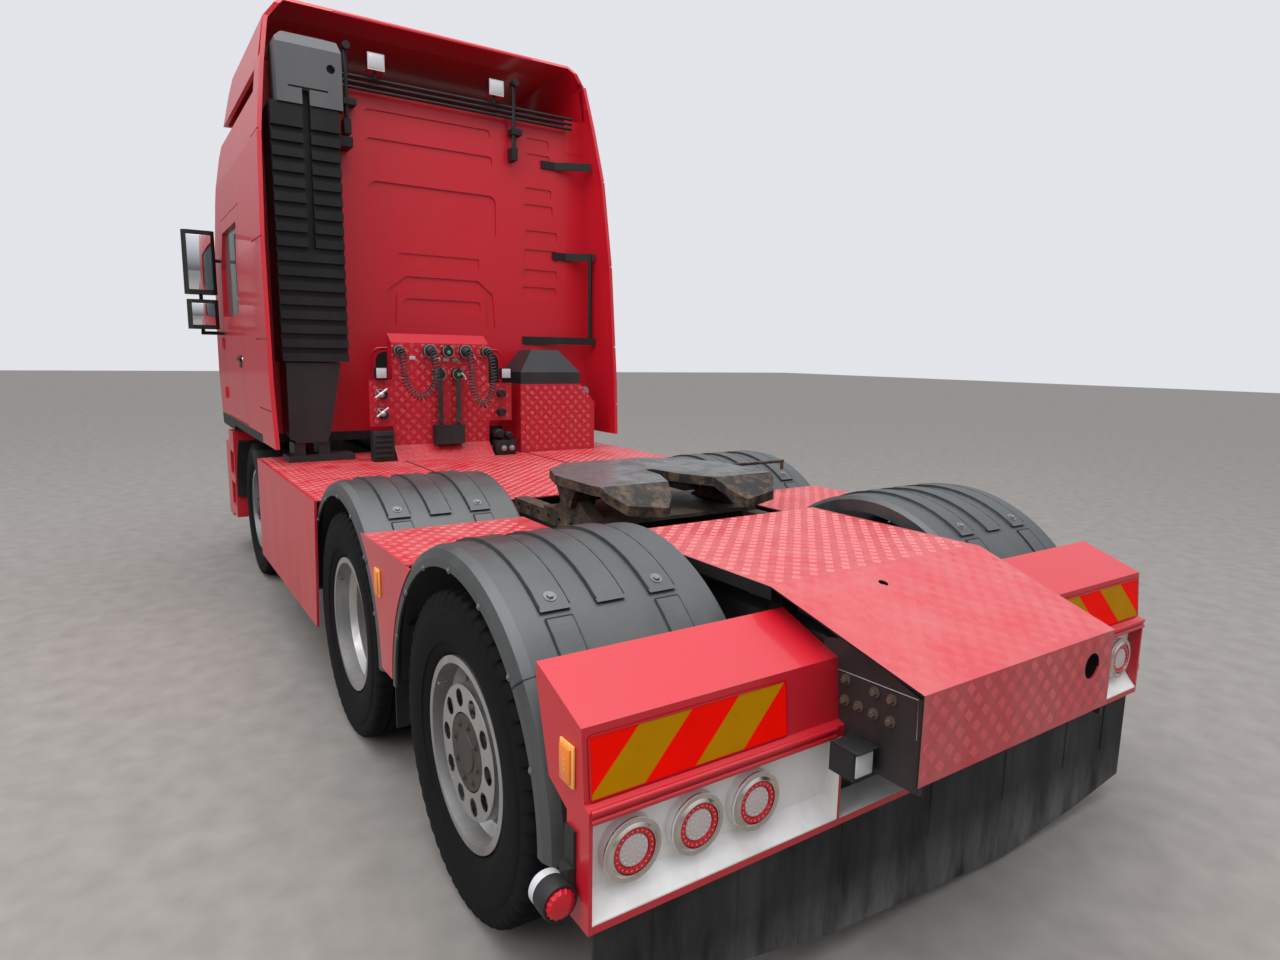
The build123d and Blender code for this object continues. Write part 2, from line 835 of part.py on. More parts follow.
with BuildPart() as coupling_plate_top:
    top_plate(plate_outline, coupling_z - coupling_plate, coupling_z)
    block(-past_x, ramp_x, -past_y, past_y, 0, past_z, mode=Mode.SUBTRACT)
    add(plate_ramps())
    upright(kingpin_x, 0, jaw_radius, 0, past_z, mode=Mode.SUBTRACT)
    for side in (1, -1):
        for inner in (coupling_pivot_y - 36 - 24, coupling_pivot_y + 36):
            low, high = sorted((side * inner, side * (inner + 24)))
            side_plate(
                [
                    (kingpin_x - 90, coupling_z - coupling_plate),
                    (kingpin_x - 36, coupling_pivot_z - 36),
                    (kingpin_x + 36, coupling_pivot_z - 36),
                    (kingpin_x + 90, coupling_z - coupling_plate),
                ],
                low,
                high,
            )
        low, high = sorted((side * (coupling_pivot_y - 60), side * (coupling_pivot_y + 60)))
        across(kingpin_x, coupling_pivot_z, coupling_pivot_radius, low, high)
    block(kingpin_x + 60, kingpin_x + 330, -120, 120, coupling_z - 90, coupling_z - coupling_plate)
    handle_x, handle_z = kingpin_x + 210, coupling_z - coupling_plate - 5
    across(handle_x, handle_z, 9, -coupling_half_width - 560, 120 - coupling_half_width)
    upright(handle_x, -coupling_half_width - 551, 9, handle_z - 46, handle_z + 9)
finish(coupling_plate_top, "coupling_plate")

# Stands on the deck: the connector plate with a sloped head, a kick plate at its foot and two wings,
# and the open-backed guard of the oil tank, which is notched beside the filler cap
stand_x = cab_rear_x - 430
stand_depth = 90
stand_low_y, stand_high_y = -177, 499
stand_top_z = 1830
kick_height = 95
coupling_table = (
    (462, 1719, 28),
    (253, 1719, 38),
    (129, 1719, 34),
    (5, 1719, 38),
    (-145, 1719, 28),
    (188, 1566, 34),
    (62, 1566, 34),
)
hose_foot_z = 1222
guard_box_x = cab_rear_x - 440
guard_box_depth = 330
guard_low_y, guard_high_y = -1031, -417
guard_top_z = 1495
guard_notch = 126
guard_box_outline = [
    (guard_low_y, deck_z),
    (guard_high_y, deck_z),
    (guard_high_y, guard_top_z),
    (guard_low_y + guard_notch, guard_top_z),
    (guard_low_y, guard_top_z - guard_notch - 12),
]
with BuildPart() as deck_stands:
    side_plate(
        [
            (stand_x, deck_z),
            (stand_x, stand_top_z - 60),
            (stand_x + stand_depth, stand_top_z),
            (stand_x + stand_depth, deck_z),
        ],
        stand_low_y,
        stand_high_y,
    )
    side_plate(
        [
            (stand_x + deck_wall, deck_z - 1),
            (stand_x + deck_wall, stand_top_z - 60 - deck_wall),
            (stand_x + stand_depth + 1, stand_top_z - deck_wall),
            (stand_x + stand_depth + 1, deck_z - 1),
        ],
        stand_low_y + deck_wall,
        stand_high_y - deck_wall,
        mode=Mode.SUBTRACT,
    )
    side_plate(
        [
            (stand_x, deck_z),
            (stand_x, deck_z + kick_height),
            (stand_x - kick_height, deck_z),
        ],
        stand_low_y,
        stand_high_y,
    )
    block(stand_x, stand_x + deck_wall, stand_low_y - 172, stand_low_y, 1240, 1505)
    block(stand_x, stand_x + deck_wall, stand_high_y, stand_high_y + 150, 1225, 1527)
    rear_plate(guard_box_outline, guard_box_x, guard_box_x + guard_box_depth)
    block(
        guard_box_x + deck_wall,
        guard_box_x + guard_box_depth + 1,
        guard_low_y + deck_wall,
        guard_high_y - deck_wall,
        deck_z - 1,
        guard_top_z + 1,
        mode=Mode.SUBTRACT,
    )
finish(deck_stands, "deck_stands")

# Connectors on the stand, the two dark hoses down to their foot box, and the white lamps on its wings
with BuildPart() as couplings:
    for y, z, radius in coupling_table:
        along(y, z, radius, stand_x - 50, stand_x)
    block(stand_x - 70, stand_x, 30, 232, deck_z + kick_height, hose_foot_z)
    for y in (188, 62):
        upright(stand_x - 42, y, 12, hose_foot_z, 1566)
    for y in (stand_low_y - 80, stand_high_y + 70):
        for z in (1300, 1430):
            along(y, z, 26, stand_x - 60, stand_x)
finish(couplings, "couplings")

# Curly cables: two hanging loops of the coil's outer diameter
coil_radius = 27
coil_x = stand_x - 50


def hanging_loop(start_y, end_y, top_z, low_z):
    """Route of a loop that leaves one coupling, hangs down and ends in the next."""
    reach = coil_x - 105
    return [
        (coil_x, start_y, top_z),
        (coil_x - 60, start_y, top_z),
        (reach, start_y, top_z - 100),
        (reach, start_y, low_z + 90),
        (reach, (start_y * 2 + end_y) / 3, low_z),
        (reach, (start_y + end_y * 2) / 3, low_z),
        (reach, end_y, low_z + 90),
        (reach, end_y, top_z - 100),
        (coil_x - 60, end_y, top_z),
        (coil_x, end_y, top_z),
    ]


def corner_radii(points):
    """Each arc takes 0.45 of the shorter run beside its corner."""
    radii = []
    for before, here, after in zip(points, points[1:], points[2:]):
        to_here = Vector(*here) - Vector(*before)
        onward = Vector(*after) - Vector(*here)
        shorter = min(to_here.length, onward.length)
        turn = math.radians(to_here.get_angle(onward))
        radii.append(0.45 * shorter / math.tan(turn / 2))
    return radii


coil_routes = (
    ("coil_left", hanging_loop(462, 253, 1719, 1420)),
    ("coil_right", hanging_loop(5, -145, 1719, 1365)),
)
for name, route in coil_routes:
    radii = corner_radii(route)
    print(name, "arc radii", [round(radius) for radius in radii])
    with BuildPart() as coil:
        with BuildLine() as path:
            FilletPolyline(*route, radius=radii)
        with BuildSketch(Plane(origin=path.line @ 0, z_dir=path.line % 0)):
            Circle(coil_radius)
        sweep()
    tube_volume = math.pi * coil_radius**2 * path.wires()[0].length
    print(name, "volume over section times length", round(coil.part.volume / tube_volume, 4))
    finish(coil, name)

# Fuel tank on the left, exhaust box on the right, each on two brackets from the rail,
# and the oil tank with a faceted head and a filler cap inside its guard
tank_inner_y = rail_half_width + 50
tank_outer_y = body_half_width - 41


def side_tank(side, length):
    """A rounded tank beside the rail, with its two brackets."""
    front = skirt_front_x - 60
    with BuildPart() as tank:
        block(front - length, front, *sorted((side * tank_inner_y, side * tank_outer_y)), 380, 940)
        fillet(tank.edges().filter_by(Axis.X), 70)
        low, high = sorted((side * rail_half_width, side * (tank_inner_y + 20)))
        for share in (0.2, 0.8):
            x = front - length * share
            block(x - 40, x + 40, low, high, rail_bottom + 20, rail_bottom + 160)
    return tank.part


oil_middle_x = guard_box_x + (deck_wall + guard_box_depth) / 2
oil_high_y = guard_high_y - deck_wall
oil_step_y = guard_low_y + guard_notch
oil_shoulder_z, oil_top_z = 1580, 1740
with BuildPart() as tanks:
    add(side_tank(1, 1070))
    add(side_tank(-1, 760))
    oil_x0, oil_x1 = guard_box_x + deck_wall, guard_box_x + guard_box_depth
    block(oil_x0, oil_x1, oil_step_y, oil_high_y, deck_z, oil_shoulder_z)
    block(oil_x0, oil_x1, guard_low_y + deck_wall, oil_step_y, deck_z, guard_top_z - 160)
    with BuildSketch(Plane.XY.offset(oil_shoulder_z)) as head_low:
        with Locations((oil_middle_x, (oil_step_y + oil_high_y) / 2)):
            Rectangle(oil_x1 - oil_x0, oil_high_y - oil_step_y)
    with BuildSketch(Plane.XY.offset(oil_top_z)) as head_high:
        with Locations((oil_middle_x + 20, (oil_step_y + oil_high_y) / 2 + 10)):
            Rectangle(guard_box_depth - 130, 220)
    loft([head_low.sketch.face(), head_high.sketch.face()])
    cap_y, cap_z = oil_step_y - 58, guard_top_z - 56
    block(guard_box_x + 60, guard_box_x + 120, cap_y - 24, cap_y + 24, guard_top_z - 160, cap_z)
    along(cap_y, cap_z, 34, guard_box_x + 30, guard_box_x + 120)
finish(tanks, "tanks")

# Cab shell: the cross-section of the body along X, cut by its side view, with one wall thickness
cab_side_points = [(1225, cab_floor_z - 100), (1238, 1500), (1232, 2350), (1205, 3000)]
cab_top_points = cab_side_points + [(1170, 3290), (1060, cab_roof_z)]
deflector_points = cab_side_points + [(1160, 3400), (1115, 3700), (1000, deflector_z)]
screen_low = (front_x - 50, 1870)
screen_high = (front_x - 270, 2890)
cab_nose_x = front_x - 60
cab_silhouette = [
    (cab_rear_x, cab_floor_z),
    (tilt_x - 680, cab_floor_z),
    (tilt_x - 620, cab_nose_z),
    (cab_nose_x, cab_nose_z),
    screen_low,
    screen_high,
    (front_x - 430, 3220),
    (front_x - 760, cab_roof_z - 20),
    (front_x - 1100, cab_roof_z),
    (cab_rear_x, cab_roof_z),
]


def both_sides(points):
    """Closes a half cross-section of (y, z) points across the middle."""
    return points + [(-y, z) for y, z in reversed(points)]


def cab_solid(inset):
    """The cab's outer form, moved inwards by the inset on every face."""
    with BuildPart() as solid:
        rear_plate(both_sides(cab_top_points), 0, front_x + 100, inset=inset)
        side_plate(cab_silhouette, -past_y, past_y, mode=Mode.INTERSECT, inset=inset)
    return solid.part


window_points = [
    (door_rear_x + 110, 1960),
    (pillar_x - 60, 1930),
    (pillar_x - 70, 2330),
    (pillar_x - 170, 2600),
    (door_rear_x + 110, 2600),
]
door_points = [
    (door_rear_x, door_bottom_z),
    (pillar_x, door_bottom_z),
    (pillar_x, 2420),
    (pillar_x - 110, door_top_z),
    (door_rear_x, door_top_z),
]
screen_half_width = 1060
screen_low_z, screen_high_z = 1960, 2800
with BuildPart() as cab_shell:
    add(cab_solid(0))
    add(cab_solid(cab_wall), mode=Mode.SUBTRACT)
    rear_plate(
        [
            (-screen_half_width, screen_low_z),
            (screen_half_width, screen_low_z),
            (screen_half_width - 70, screen_high_z),
            (-screen_half_width + 70, screen_high_z),
        ],
        front_x - 700,
        front_x + 100,
        mode=Mode.SUBTRACT,
        corner=60,
    )

floor_top_z = cab_floor_z + cab_wall
rear_face_x = cab_rear_x + cab_wall
with BuildPart() as cab_floor:
    add(cab_shell.part)
    block(0, past_x, -past_y, past_y, 0, floor_top_z, mode=Mode.INTERSECT)
    for side in (1, -1):
        low, high = sorted((side * (rail_half_width + 6), side * (tilt_y - 6)))
        side_plate(
            [
                (tilt_x - 90, cab_nose_z + 5),
                (tilt_x - tilt_eye_radius, tilt_z),
                (tilt_x + tilt_eye_radius, tilt_z),
                (tilt_x + 70, cab_nose_z + 5),
            ],
            low,
            high,
        )
        across(tilt_x, tilt_z, tilt_eye_radius, low, high)
        across(tilt_x, tilt_z, tilt_pin_radius + spindle_gap, low, high, mode=Mode.SUBTRACT)
finish(cab_floor, "cab_floor")



def pressed(y0, y1, z0, z1, drop=0.0):
    """Outline of a pressed panel; its lower edge may drop to a shallow point."""
    if drop:
        low = [(y0, z0), ((2 * y0 + y1) / 3, z0 - drop), ((y0 + 2 * y1) / 3, z0 - drop), (y1, z0)]
        return low + [(y1, z1), (y0, z1)]
    return [(y0, z0), (y1, z0), (y1, z1), (y0, z1)]


# Pressings of the rear wall: depth, corner radius and outline of each
wall_pressings = (
    (10, 28, pressed(-392, 501, 3240, 3308)),
    (10, 28, pressed(-405, 497, 3052, 3126)),
    (12, 60, pressed(-432, 492, 2540, 2852, 66)),
    (8, 12, pressed(-292, 300, 2316, 2392)),
    (
        10,
        22,
        [(-420, 1880), (-400, 2140), (-280, 2236), (250, 2236), (380, 2140), (400, 1880)]
        + [(330, 1880), (318, 2120), (220, 2176), (-240, 2176), (-338, 2120), (-350, 1880)],
    ),
    (8, 30, pressed(-300, 270, 2000, 2084)),
    (8, 20, pressed(-866, -676, 3232, 3306)),
    (8, 20, pressed(-876, -682, 3130, 3196)),
    (8, 20, pressed(-890, -664, 2876, 2950)),
    (8, 20, pressed(-900, -660, 2756, 2830)),
    (8, 20, pressed(-940, -660, 2560, 2640)),
    (8, 20, pressed(-940, -660, 2420, 2500)),
    (8, 20, pressed(-940, -650, 2270, 2350)),
    (8, 20, pressed(-930, -640, 2140, 2220)),
)
with BuildPart() as cab_rear_wall:
    add(cab_shell.part)
    block(0, rear_face_x, -past_y, past_y, floor_top_z, past_z, mode=Mode.INTERSECT)
    for depth, corner, outline in wall_pressings:
        rear_plate(outline, cab_rear_x - 1, cab_rear_x + depth, mode=Mode.SUBTRACT, corner=corner)
finish(cab_rear_wall, "cab_rear_wall")

with BuildPart() as cab_roof:
    add(cab_shell.part)
    block(rear_face_x, past_x, -past_y, past_y, roof_split_z, past_z, mode=Mode.INTERSECT)
finish(cab_roof, "cab_roof")

front_split_x = pillar_x + panel_gap
hinge_x, hinge_y = pillar_x + panel_gap / 2, 1240
hinge_zs = (1350, 1750)
hinge_pin, hinge_eye, hinge_half = 6, 12, 20
hinge_tip = hinge_half + 25
grille_hinge_x, grille_hinge_z = front_x - 49, grille_top_z + panel_gap / 2
grille_hinge_ys = (-600, 600)
with BuildPart() as cab_front:
    add(cab_shell.part)
    block(front_split_x, past_x, -past_y, past_y, floor_top_z, roof_split_z, mode=Mode.INTERSECT)
    block(
        front_x - 250,
        front_x + 100,
        -grille_half_width - panel_gap,
        grille_half_width + panel_gap,
        grille_low_z - panel_gap,
        grille_top_z + panel_gap,
        mode=Mode.SUBTRACT,
    )
    for side in (1, -1):
        for z in hinge_zs:
            upright(
                hinge_x,
                side * hinge_y,
                hinge_eye + 1,
                z - hinge_tip - 1,
                z + hinge_tip + 1,
                mode=Mode.SUBTRACT,
            )
            block(
                hinge_x,
                hinge_x + 60,
                *sorted((side * (hinge_y - 60), side * (hinge_y - 4))),
                z - hinge_half,
                z + hinge_half,
            )
            upright(hinge_x, side * hinge_y, hinge_eye, z - hinge_half, z + hinge_half)
            upright(hinge_x, side * hinge_y, hinge_pin, z - hinge_tip, z + hinge_tip)
    for y in grille_hinge_ys:
        low, high = y - hinge_tip - 1, y + hinge_tip + 1
        across(grille_hinge_x, grille_hinge_z, hinge_eye + 1, low, high, mode=Mode.SUBTRACT)
        block(
            grille_hinge_x - 50,
            grille_hinge_x,
            y - hinge_half,
            y + hinge_half,
            grille_hinge_z,
            grille_hinge_z + 40,
        )
        across(grille_hinge_x, grille_hinge_z, hinge_eye, y - hinge_half, y + hinge_half)
        across(grille_hinge_x, grille_hinge_z, hinge_pin, y - hinge_tip, y + hinge_tip)
finish(cab_front, "cab_front")

with BuildPart() as grille_lid:
    add(cab_shell.part)
    block(
        front_x - 250,
        front_x + 100,
        -grille_half_width,
        grille_half_width,
        grille_low_z,
        grille_top_z,
        mode=Mode.INTERSECT,
    )
    for z in range(grille_low_z + 60, grille_low_z + 420, 70):
        block(
            front_x - 70,
            front_x + 20,
            -grille_half_width + 60,
            grille_half_width - 60,
            z,
            z + 40,
            mode=Mode.SUBTRACT,
        )
    for y in grille_hinge_ys:
        low, high = y - hinge_half - spindle_gap, y + hinge_half + spindle_gap
        across(grille_hinge_x, grille_hinge_z, hinge_eye + 1, low, high, mode=Mode.SUBTRACT)
        block(
            grille_hinge_x - 70,
            grille_hinge_x + 1,
            low,
            high,
            grille_hinge_z - 12,
            grille_hinge_z,
            mode=Mode.SUBTRACT,
        )
        for low, high in ((y - hinge_tip, low), (high, y + hinge_tip)):
            across(grille_hinge_x, grille_hinge_z, hinge_eye, low, high)
            across(grille_hinge_x, grille_hinge_z, hinge_pin + spindle_gap, low, high, mode=Mode.SUBTRACT)
finish(grille_lid, "grille_lid")

with BuildPart() as cab_sides:
    add(cab_shell.part)
    block(rear_face_x, front_split_x, -past_y, past_y, floor_top_z, roof_split_z, mode=Mode.INTERSECT)
    side_plate(door_points, -past_y, past_y, mode=Mode.SUBTRACT, inset=-panel_gap)
finish(cab_sides, "cab_sides")

screen_dx, screen_dz = screen_high[0] - screen_low[0], screen_high[1] - screen_low[1]
screen_slope = screen_dx / screen_dz
with BuildPart() as windscreen:
    side_plate(
        [
            (screen_low[0] + (z - screen_low[1]) * screen_slope - setback, z)
            for setback, z in (
                (22, screen_low_z + 1),
                (22, screen_high_z - 1),
                (22 + glass, screen_high_z - 1),
                (22 + glass, screen_low_z + 1),
            )
        ],
        -past_y,
        past_y,
    )
    rear_plate(
        [
            (-screen_half_width, screen_low_z),
            (screen_half_width, screen_low_z),
            (screen_half_width - 70, screen_high_z),
            (-screen_half_width + 70, screen_high_z),
        ],
        front_x - 700,
        front_x + 100,
        mode=Mode.INTERSECT,
        corner=60,
        inset=spindle_gap,
    )
finish(windscreen, "windscreen")

# Doors with glass and a pair of mirrors on two arms each
glass_y = 1192
mirror_x = pillar_x - 50


def mirror_housing(low, high, z_low, z_high):
    """A mirror's housing with rounded upright edges."""
    with BuildPart() as housing:
        block(pillar_x - 120, pillar_x - 20, low, high, z_low, z_high)
        fillet(housing.edges().filter_by(Axis.Z), 40)
    return housing.part


for side, word in ((1, "left"), (-1, "right")):
    with BuildPart() as door:
        add(cab_shell.part)
        low, high = sorted((side * 0.8 * body_half_width, side * past_y))
        side_plate(door_points, low, high, mode=Mode.INTERSECT)
        side_plate(window_points, low, high, mode=Mode.SUBTRACT, corner=40)
        for z in hinge_zs:
            low, high = z - hinge_half - spindle_gap, z + hinge_half + spindle_gap
            upright(hinge_x, side * hinge_y, hinge_eye + 1, low, high, mode=Mode.SUBTRACT)
            for low, high in ((z - hinge_tip, low), (high, z + hinge_tip)):
                upright(hinge_x, side * hinge_y, hinge_eye, low, high)
                upright(hinge_x, side * hinge_y, hinge_pin + spindle_gap, low, high, mode=Mode.SUBTRACT)
    finish(door, f"door_{word}")
    with BuildPart() as door_glass:
        low, high = sorted((side * glass_y, side * (glass_y + glass)))
        side_plate(window_points, low, high, corner=40, inset=spindle_gap)
    finish(door_glass, f"door_glass_{word}")
    with BuildPart() as mirrors:
        for z_low, z_high, reach in ((2130, 2620, 1500), (1860, 2090, 1490)):
            low, high = sorted((side * 1270, side * reach))
            add(mirror_housing(low, high, z_low, z_high))
        across(mirror_x, 2400, 14, *sorted((side * 1230.6, side * 1290)))
        across(mirror_x, 1830, 14, *sorted((side * 1236, side * 1400)))
        upright(mirror_x, side * 1386, 14, 1830, 2200)
    finish(mirrors, f"mirrors_{word}")

# Roof deflector: a shell open at the rear and below, which runs down into the side fairings
deflector_silhouette = [
    (cab_rear_x - 85, 3330),
    (cab_rear_x - 115, deflector_z - 60),
    (cab_rear_x - 60, deflector_z),
    (cab_rear_x + 250, deflector_z + 1),
    (front_x - 1150, 3790),
    (front_x - 800, 3620),
    (front_x - 640, cab_roof_z + 1),
    (front_x - 640, 3330),
]


def deflector_solid(inset):
    """The deflector's outer form, moved inwards by the inset."""
    with BuildPart() as solid:
        rear_plate(both_sides(deflector_points), 0, front_x, inset=inset)
        moved = [(x - inset, z - inset) for x, z in deflector_silhouette]
        side_plate(moved, -past_y, past_y, mode=Mode.INTERSECT)
    return solid.part


deflector_low_z = cab_roof_z + 40
tail_step_x, tail_step_y = cab_rear_x - 72, 740
with BuildPart() as roof_deflector:
    add(deflector_solid(0))
    add(deflector_solid(skin), mode=Mode.SUBTRACT)
    block(0, past_x, -past_y, past_y, 0, cab_roof_z + spindle_gap, mode=Mode.SUBTRACT)
    block(0, cab_rear_x + 10, -past_y, past_y, 0, deflector_low_z, mode=Mode.SUBTRACT)
    top_plate(
        [
            (0, -tail_step_y),
            (0, tail_step_y),
            (tail_step_x - 30, tail_step_y),
            (tail_step_x, tail_step_y - 50),
            (tail_step_x, 50 - tail_step_y),
            (tail_step_x - 30, -tail_step_y),
        ],
        deflector_low_z,
        past_z,
        mode=Mode.SUBTRACT,
    )
finish(roof_deflector, "roof_deflector")

# Side fairings: the body's cross-section carried past the rear wall, with a raked rear edge
fairing_low_z = 1107
fairing_top_z = deflector_low_z - spindle_gap
fairing_edge = [
    (fairing_low_x, fairing_low_z),
    (cab_rear_x - 345, 2400),
    (cab_rear_x - 268, 3000),
    (cab_rear_x - 130, 3700),
]
seam_zs = (1337, 1774, 2380, 3010)


def fairing_seams():
    """Shallow grooves round the fairings where their panels meet."""
    with BuildPart() as seams:
        rear_plate(both_sides(deflector_points), 0, cab_rear_x)
        rear_plate(both_sides(deflector_points), -1, past_x, mode=Mode.SUBTRACT, inset=10)
        with BuildPart(mode=Mode.INTERSECT):
            for z in seam_zs:
                block(0, past_x, -past_y, past_y, z - 4, z + 4)
    return seams.part


with BuildPart() as side_fairings:
    rear_plate(both_sides(deflector_points), 0, cab_rear_x - spindle_gap)
    rear_plate(both_sides(deflector_points), -1, cab_rear_x, mode=Mode.SUBTRACT, inset=skin)
    side_plate(
        fairing_edge
        + [(cab_rear_x - 176, fairing_top_z), (cab_rear_x + 1, fairing_top_z)]
        + [(cab_rear_x + 1, fairing_low_z)],
        -past_y,
        past_y,
        mode=Mode.INTERSECT,
    )
    add(fairing_seams(), mode=Mode.SUBTRACT)
finish(side_fairings, "side_fairings")

# Air intake: twin ribbed columns with a slot between them under a rounded head, over a duct on the deck
stack_high_y = body_half_width - 136
stack_low_y = stack_high_y - 400
stack_x = cab_rear_x - 290
stack_low_z, stack_neck_z, stack_top_z = 1640, 3090, 3600
slot_y, slot_half, slot_low_z, slot_top_z = 925, 22, 2330, 3270
rib_pitch = 88


def intake_head():
    """The smooth rounded head, narrower at its top."""
    with BuildPart() as head:
        head_x, head_y0, head_y1 = stack_x - 12, stack_low_y - 20, stack_high_y - 42
        rear_plate(
            [
                (head_y0, stack_neck_z + 90),
                (head_y1, stack_neck_z + 90),
                (head_y1, stack_top_z - 60),
                (head_y1 - 60, stack_top_z),
                (head_y0 + 80, stack_top_z),
                (head_y0 + 22, stack_top_z - 24),
                (head_y0, stack_top_z - 90),
            ],
            head_x,
            cab_rear_x - 60,
        )
        side_plate(
            [
                (head_x - 1, stack_top_z - 90),
                (head_x + 24, stack_top_z - 26),
                (head_x + 90, stack_top_z + 1),
                (head_x - 1, stack_top_z + 1),
            ],
            0,
            past_y,
            mode=Mode.SUBTRACT,
        )
    return head.part


with BuildPart() as intake_stack:
    block(stack_x, cab_rear_x - spindle_gap, stack_low_y, stack_high_y, stack_low_z, stack_neck_z + 91)
    z = stack_low_z + 50
    while z < stack_neck_z - 20:
        block(
            stack_x - 1,
            stack_x + 24,
            stack_low_y - 1,
            stack_high_y + 1,
            z,
            z + 0.42 * rib_pitch,
            mode=Mode.SUBTRACT,
        )
        z += rib_pitch
    add(intake_head())
    block(
        stack_x - 20,
        stack_x + 45,
        slot_y - slot_half,
        slot_y + slot_half,
        slot_low_z,
        slot_top_z,
        mode=Mode.SUBTRACT,
    )
    block(
        stack_x - 20,
        stack_x + 12,
        slot_y - 130,
        slot_y + 100,
        slot_top_z,
        slot_top_z + 10,
        mode=Mode.SUBTRACT,
    )
    along(slot_y - 150, stack_top_z - 190, 26, stack_x - 20, stack_x + 40, mode=Mode.SUBTRACT)
    block(cab_rear_x - 160, cab_rear_x - spindle_gap, stack_low_y - 110, stack_low_y, 3010, 3070)
finish(intake_stack, "intake_stack")

duct_low_y, duct_high_y = stack_low_y + 130, stack_high_y - 20
with BuildPart() as air_duct:
    rear_plate(
        [
            (stack_low_y + 50, stack_low_z - 8),
            (stack_high_y - 20, stack_low_z - 8),
            (duct_high_y, 1180),
            (duct_high_y - 40, 1120),
            (duct_low_y + 20, 1120),
            (duct_low_y, 1180),
        ],
        stack_x + 20,
        cab_rear_x - 40,
    )
    for y in (duct_low_y + 40, duct_high_y - 60):
        block(stack_x + 40, stack_x + 200, y - 35, y + 35, deck_z, 1120)
    block(stack_x - 20, cab_rear_x - 120, stack_low_y - 10, stack_high_y, deck_z, deck_z + 40)
finish(air_duct, "air_duct")

# Cross pipes, two lamp struts and the stays that hold the side fairings
stay_table = ((3130, 800, 1150), (2465, 900, 1192), (1815, 640, 1200))
stay_x = cab_rear_x - 150
with BuildPart() as rear_rails:
    for z in (3405, 3440, 3475):
        across(cab_rear_x - 60, z, 11, -1030, 660)
    for y in (630, -550):
        upright(cab_rear_x - 60, y, 15, 3120, 3640)
        block(cab_rear_x - 85, cab_rear_x - spindle_gap, y - 22, y + 22, 3110, 3200)
        block(cab_rear_x - 85, cab_rear_x - spindle_gap, y - 60, y + 22, 3290, 3330)
        along(y, 3640, 24, cab_rear_x - 110, cab_rear_x - 40)
    for y in (446, -396):
        upright(cab_rear_x - 75, y, 9, 3475, 3530)
        block(cab_rear_x - 115, cab_rear_x - 45, y - 55, y + 55, 3520, 3625)
    for z, inner_y, outer_y in stay_table:
        top_plate(
            [
                (cab_rear_x - spindle_gap, -inner_y),
                (cab_rear_x - spindle_gap, -inner_y - 120),
                (stay_x + 12, -outer_y),
                (stay_x, -outer_y),
                (cab_rear_x - 14, -inner_y - 110),
                (cab_rear_x - 14, -inner_y),
            ],
            z - 28,
            z + 28,
        )
    upright(stay_x + 30, -1170, 16, 1790, 2480)
finish(rear_rails, "rear_rails")

# Cab interior: two seats, the bunk and the dashboard with its wheel
with BuildPart() as seats:
    for y in (620, -620):
        block(front_axle_x + 150, front_axle_x + 620, y - 200, y + 200, floor_top_z, 1500)
        block(front_axle_x + 110, front_axle_x + 640, y - 250, y + 250, 1500, 1640)
        block(front_axle_x + 60, front_axle_x + 180, y - 240, y + 240, 1600, 2280)
    block(rear_face_x + 2, rear_face_x + 660, -1120, 1120, floor_top_z + 300, floor_top_z + 560)
    block(rear_face_x + 30, rear_face_x + 600, -1060, 1060, floor_top_z, floor_top_z + 300)
finish(seats, "seats")

nose_floor_z = cab_nose_z + cab_wall
with BuildPart() as dashboard:
    side_plate(
        [
            (front_x - 560, nose_floor_z),
            (front_x - 620, 1780),
            (front_x - 560, 1900),
            (front_x - 260, 1920),
            (front_x - 260, nose_floor_z),
        ],
        -1120,
        1120,
    )
    with Locations(Location((front_x - 690, 620, 1830), (0, 65, 0))):
        Torus(220, 16)
    with Locations(Location((front_x - 640, 620, 1800), (0, 65, 0))):
        Cylinder(30, 130)
        Box(30, 420, 14)
finish(dashboard, "dashboard")

# Steering knuckles and the track rod
arm_x = front_axle_x - 230
arm_y = kingpin_y - 45
arm_z = axle_z - 150
for side, word in ((1, "left"), (-1, "right")):
    with BuildPart() as knuckle:
        upright(front_axle_x, side * kingpin_y, kingpin_radius, axle_z - 100, axle_z + 100)
        upright(front_axle_x, side * kingpin_y, 46, axle_z + 55 + lug_gap, axle_z + 105)
        upright(front_axle_x, side * kingpin_y, 46, axle_z - 105, axle_z - 55 - lug_gap)
        low, high = sorted((side * (kingpin_y + 62), side * (kingpin_y + 100)))
        block(front_axle_x - 50, front_axle_x + 50, low, high, axle_z - 105, axle_z + 105)
        low, high = sorted((side * kingpin_y, side * (kingpin_y + 64)))
        block(front_axle_x - 40, front_axle_x + 40, low, high, axle_z + 55 + lug_gap, axle_z + 105)
        block(front_axle_x - 40, front_axle_x + 40, low, high, axle_z - 105, axle_z - 55 - lug_gap)
        low, high = sorted((side * (kingpin_y + 98), side * (steer_wheel_y + 40)))
        across(front_axle_x, axle_z, hub_bore - spindle_gap, low, high)
        top_plate(
            [
                (front_axle_x + 30, side * (kingpin_y + 25)),
                (front_axle_x + 30, side * (kingpin_y - 25)),
                (arm_x - 30, side * (arm_y - 25)),
                (arm_x - 30, side * (arm_y + 25)),
            ],
            axle_z - 135,
            axle_z - 104,
        )
    finish(knuckle, f"knuckle_{word}")

rod_z = axle_z - 155
rod_radius = 17
with BuildPart() as track_rod:
    across(arm_x, rod_z, rod_radius, -arm_y + 12, arm_y)
    upright(arm_x, arm_y, 24, rod_z - 22, axle_z - 135 - spindle_gap)
    upright(arm_x, -arm_y + 4, 20, rod_z - 22, axle_z - 135 - 4)
finish(track_rod, "track_rod")


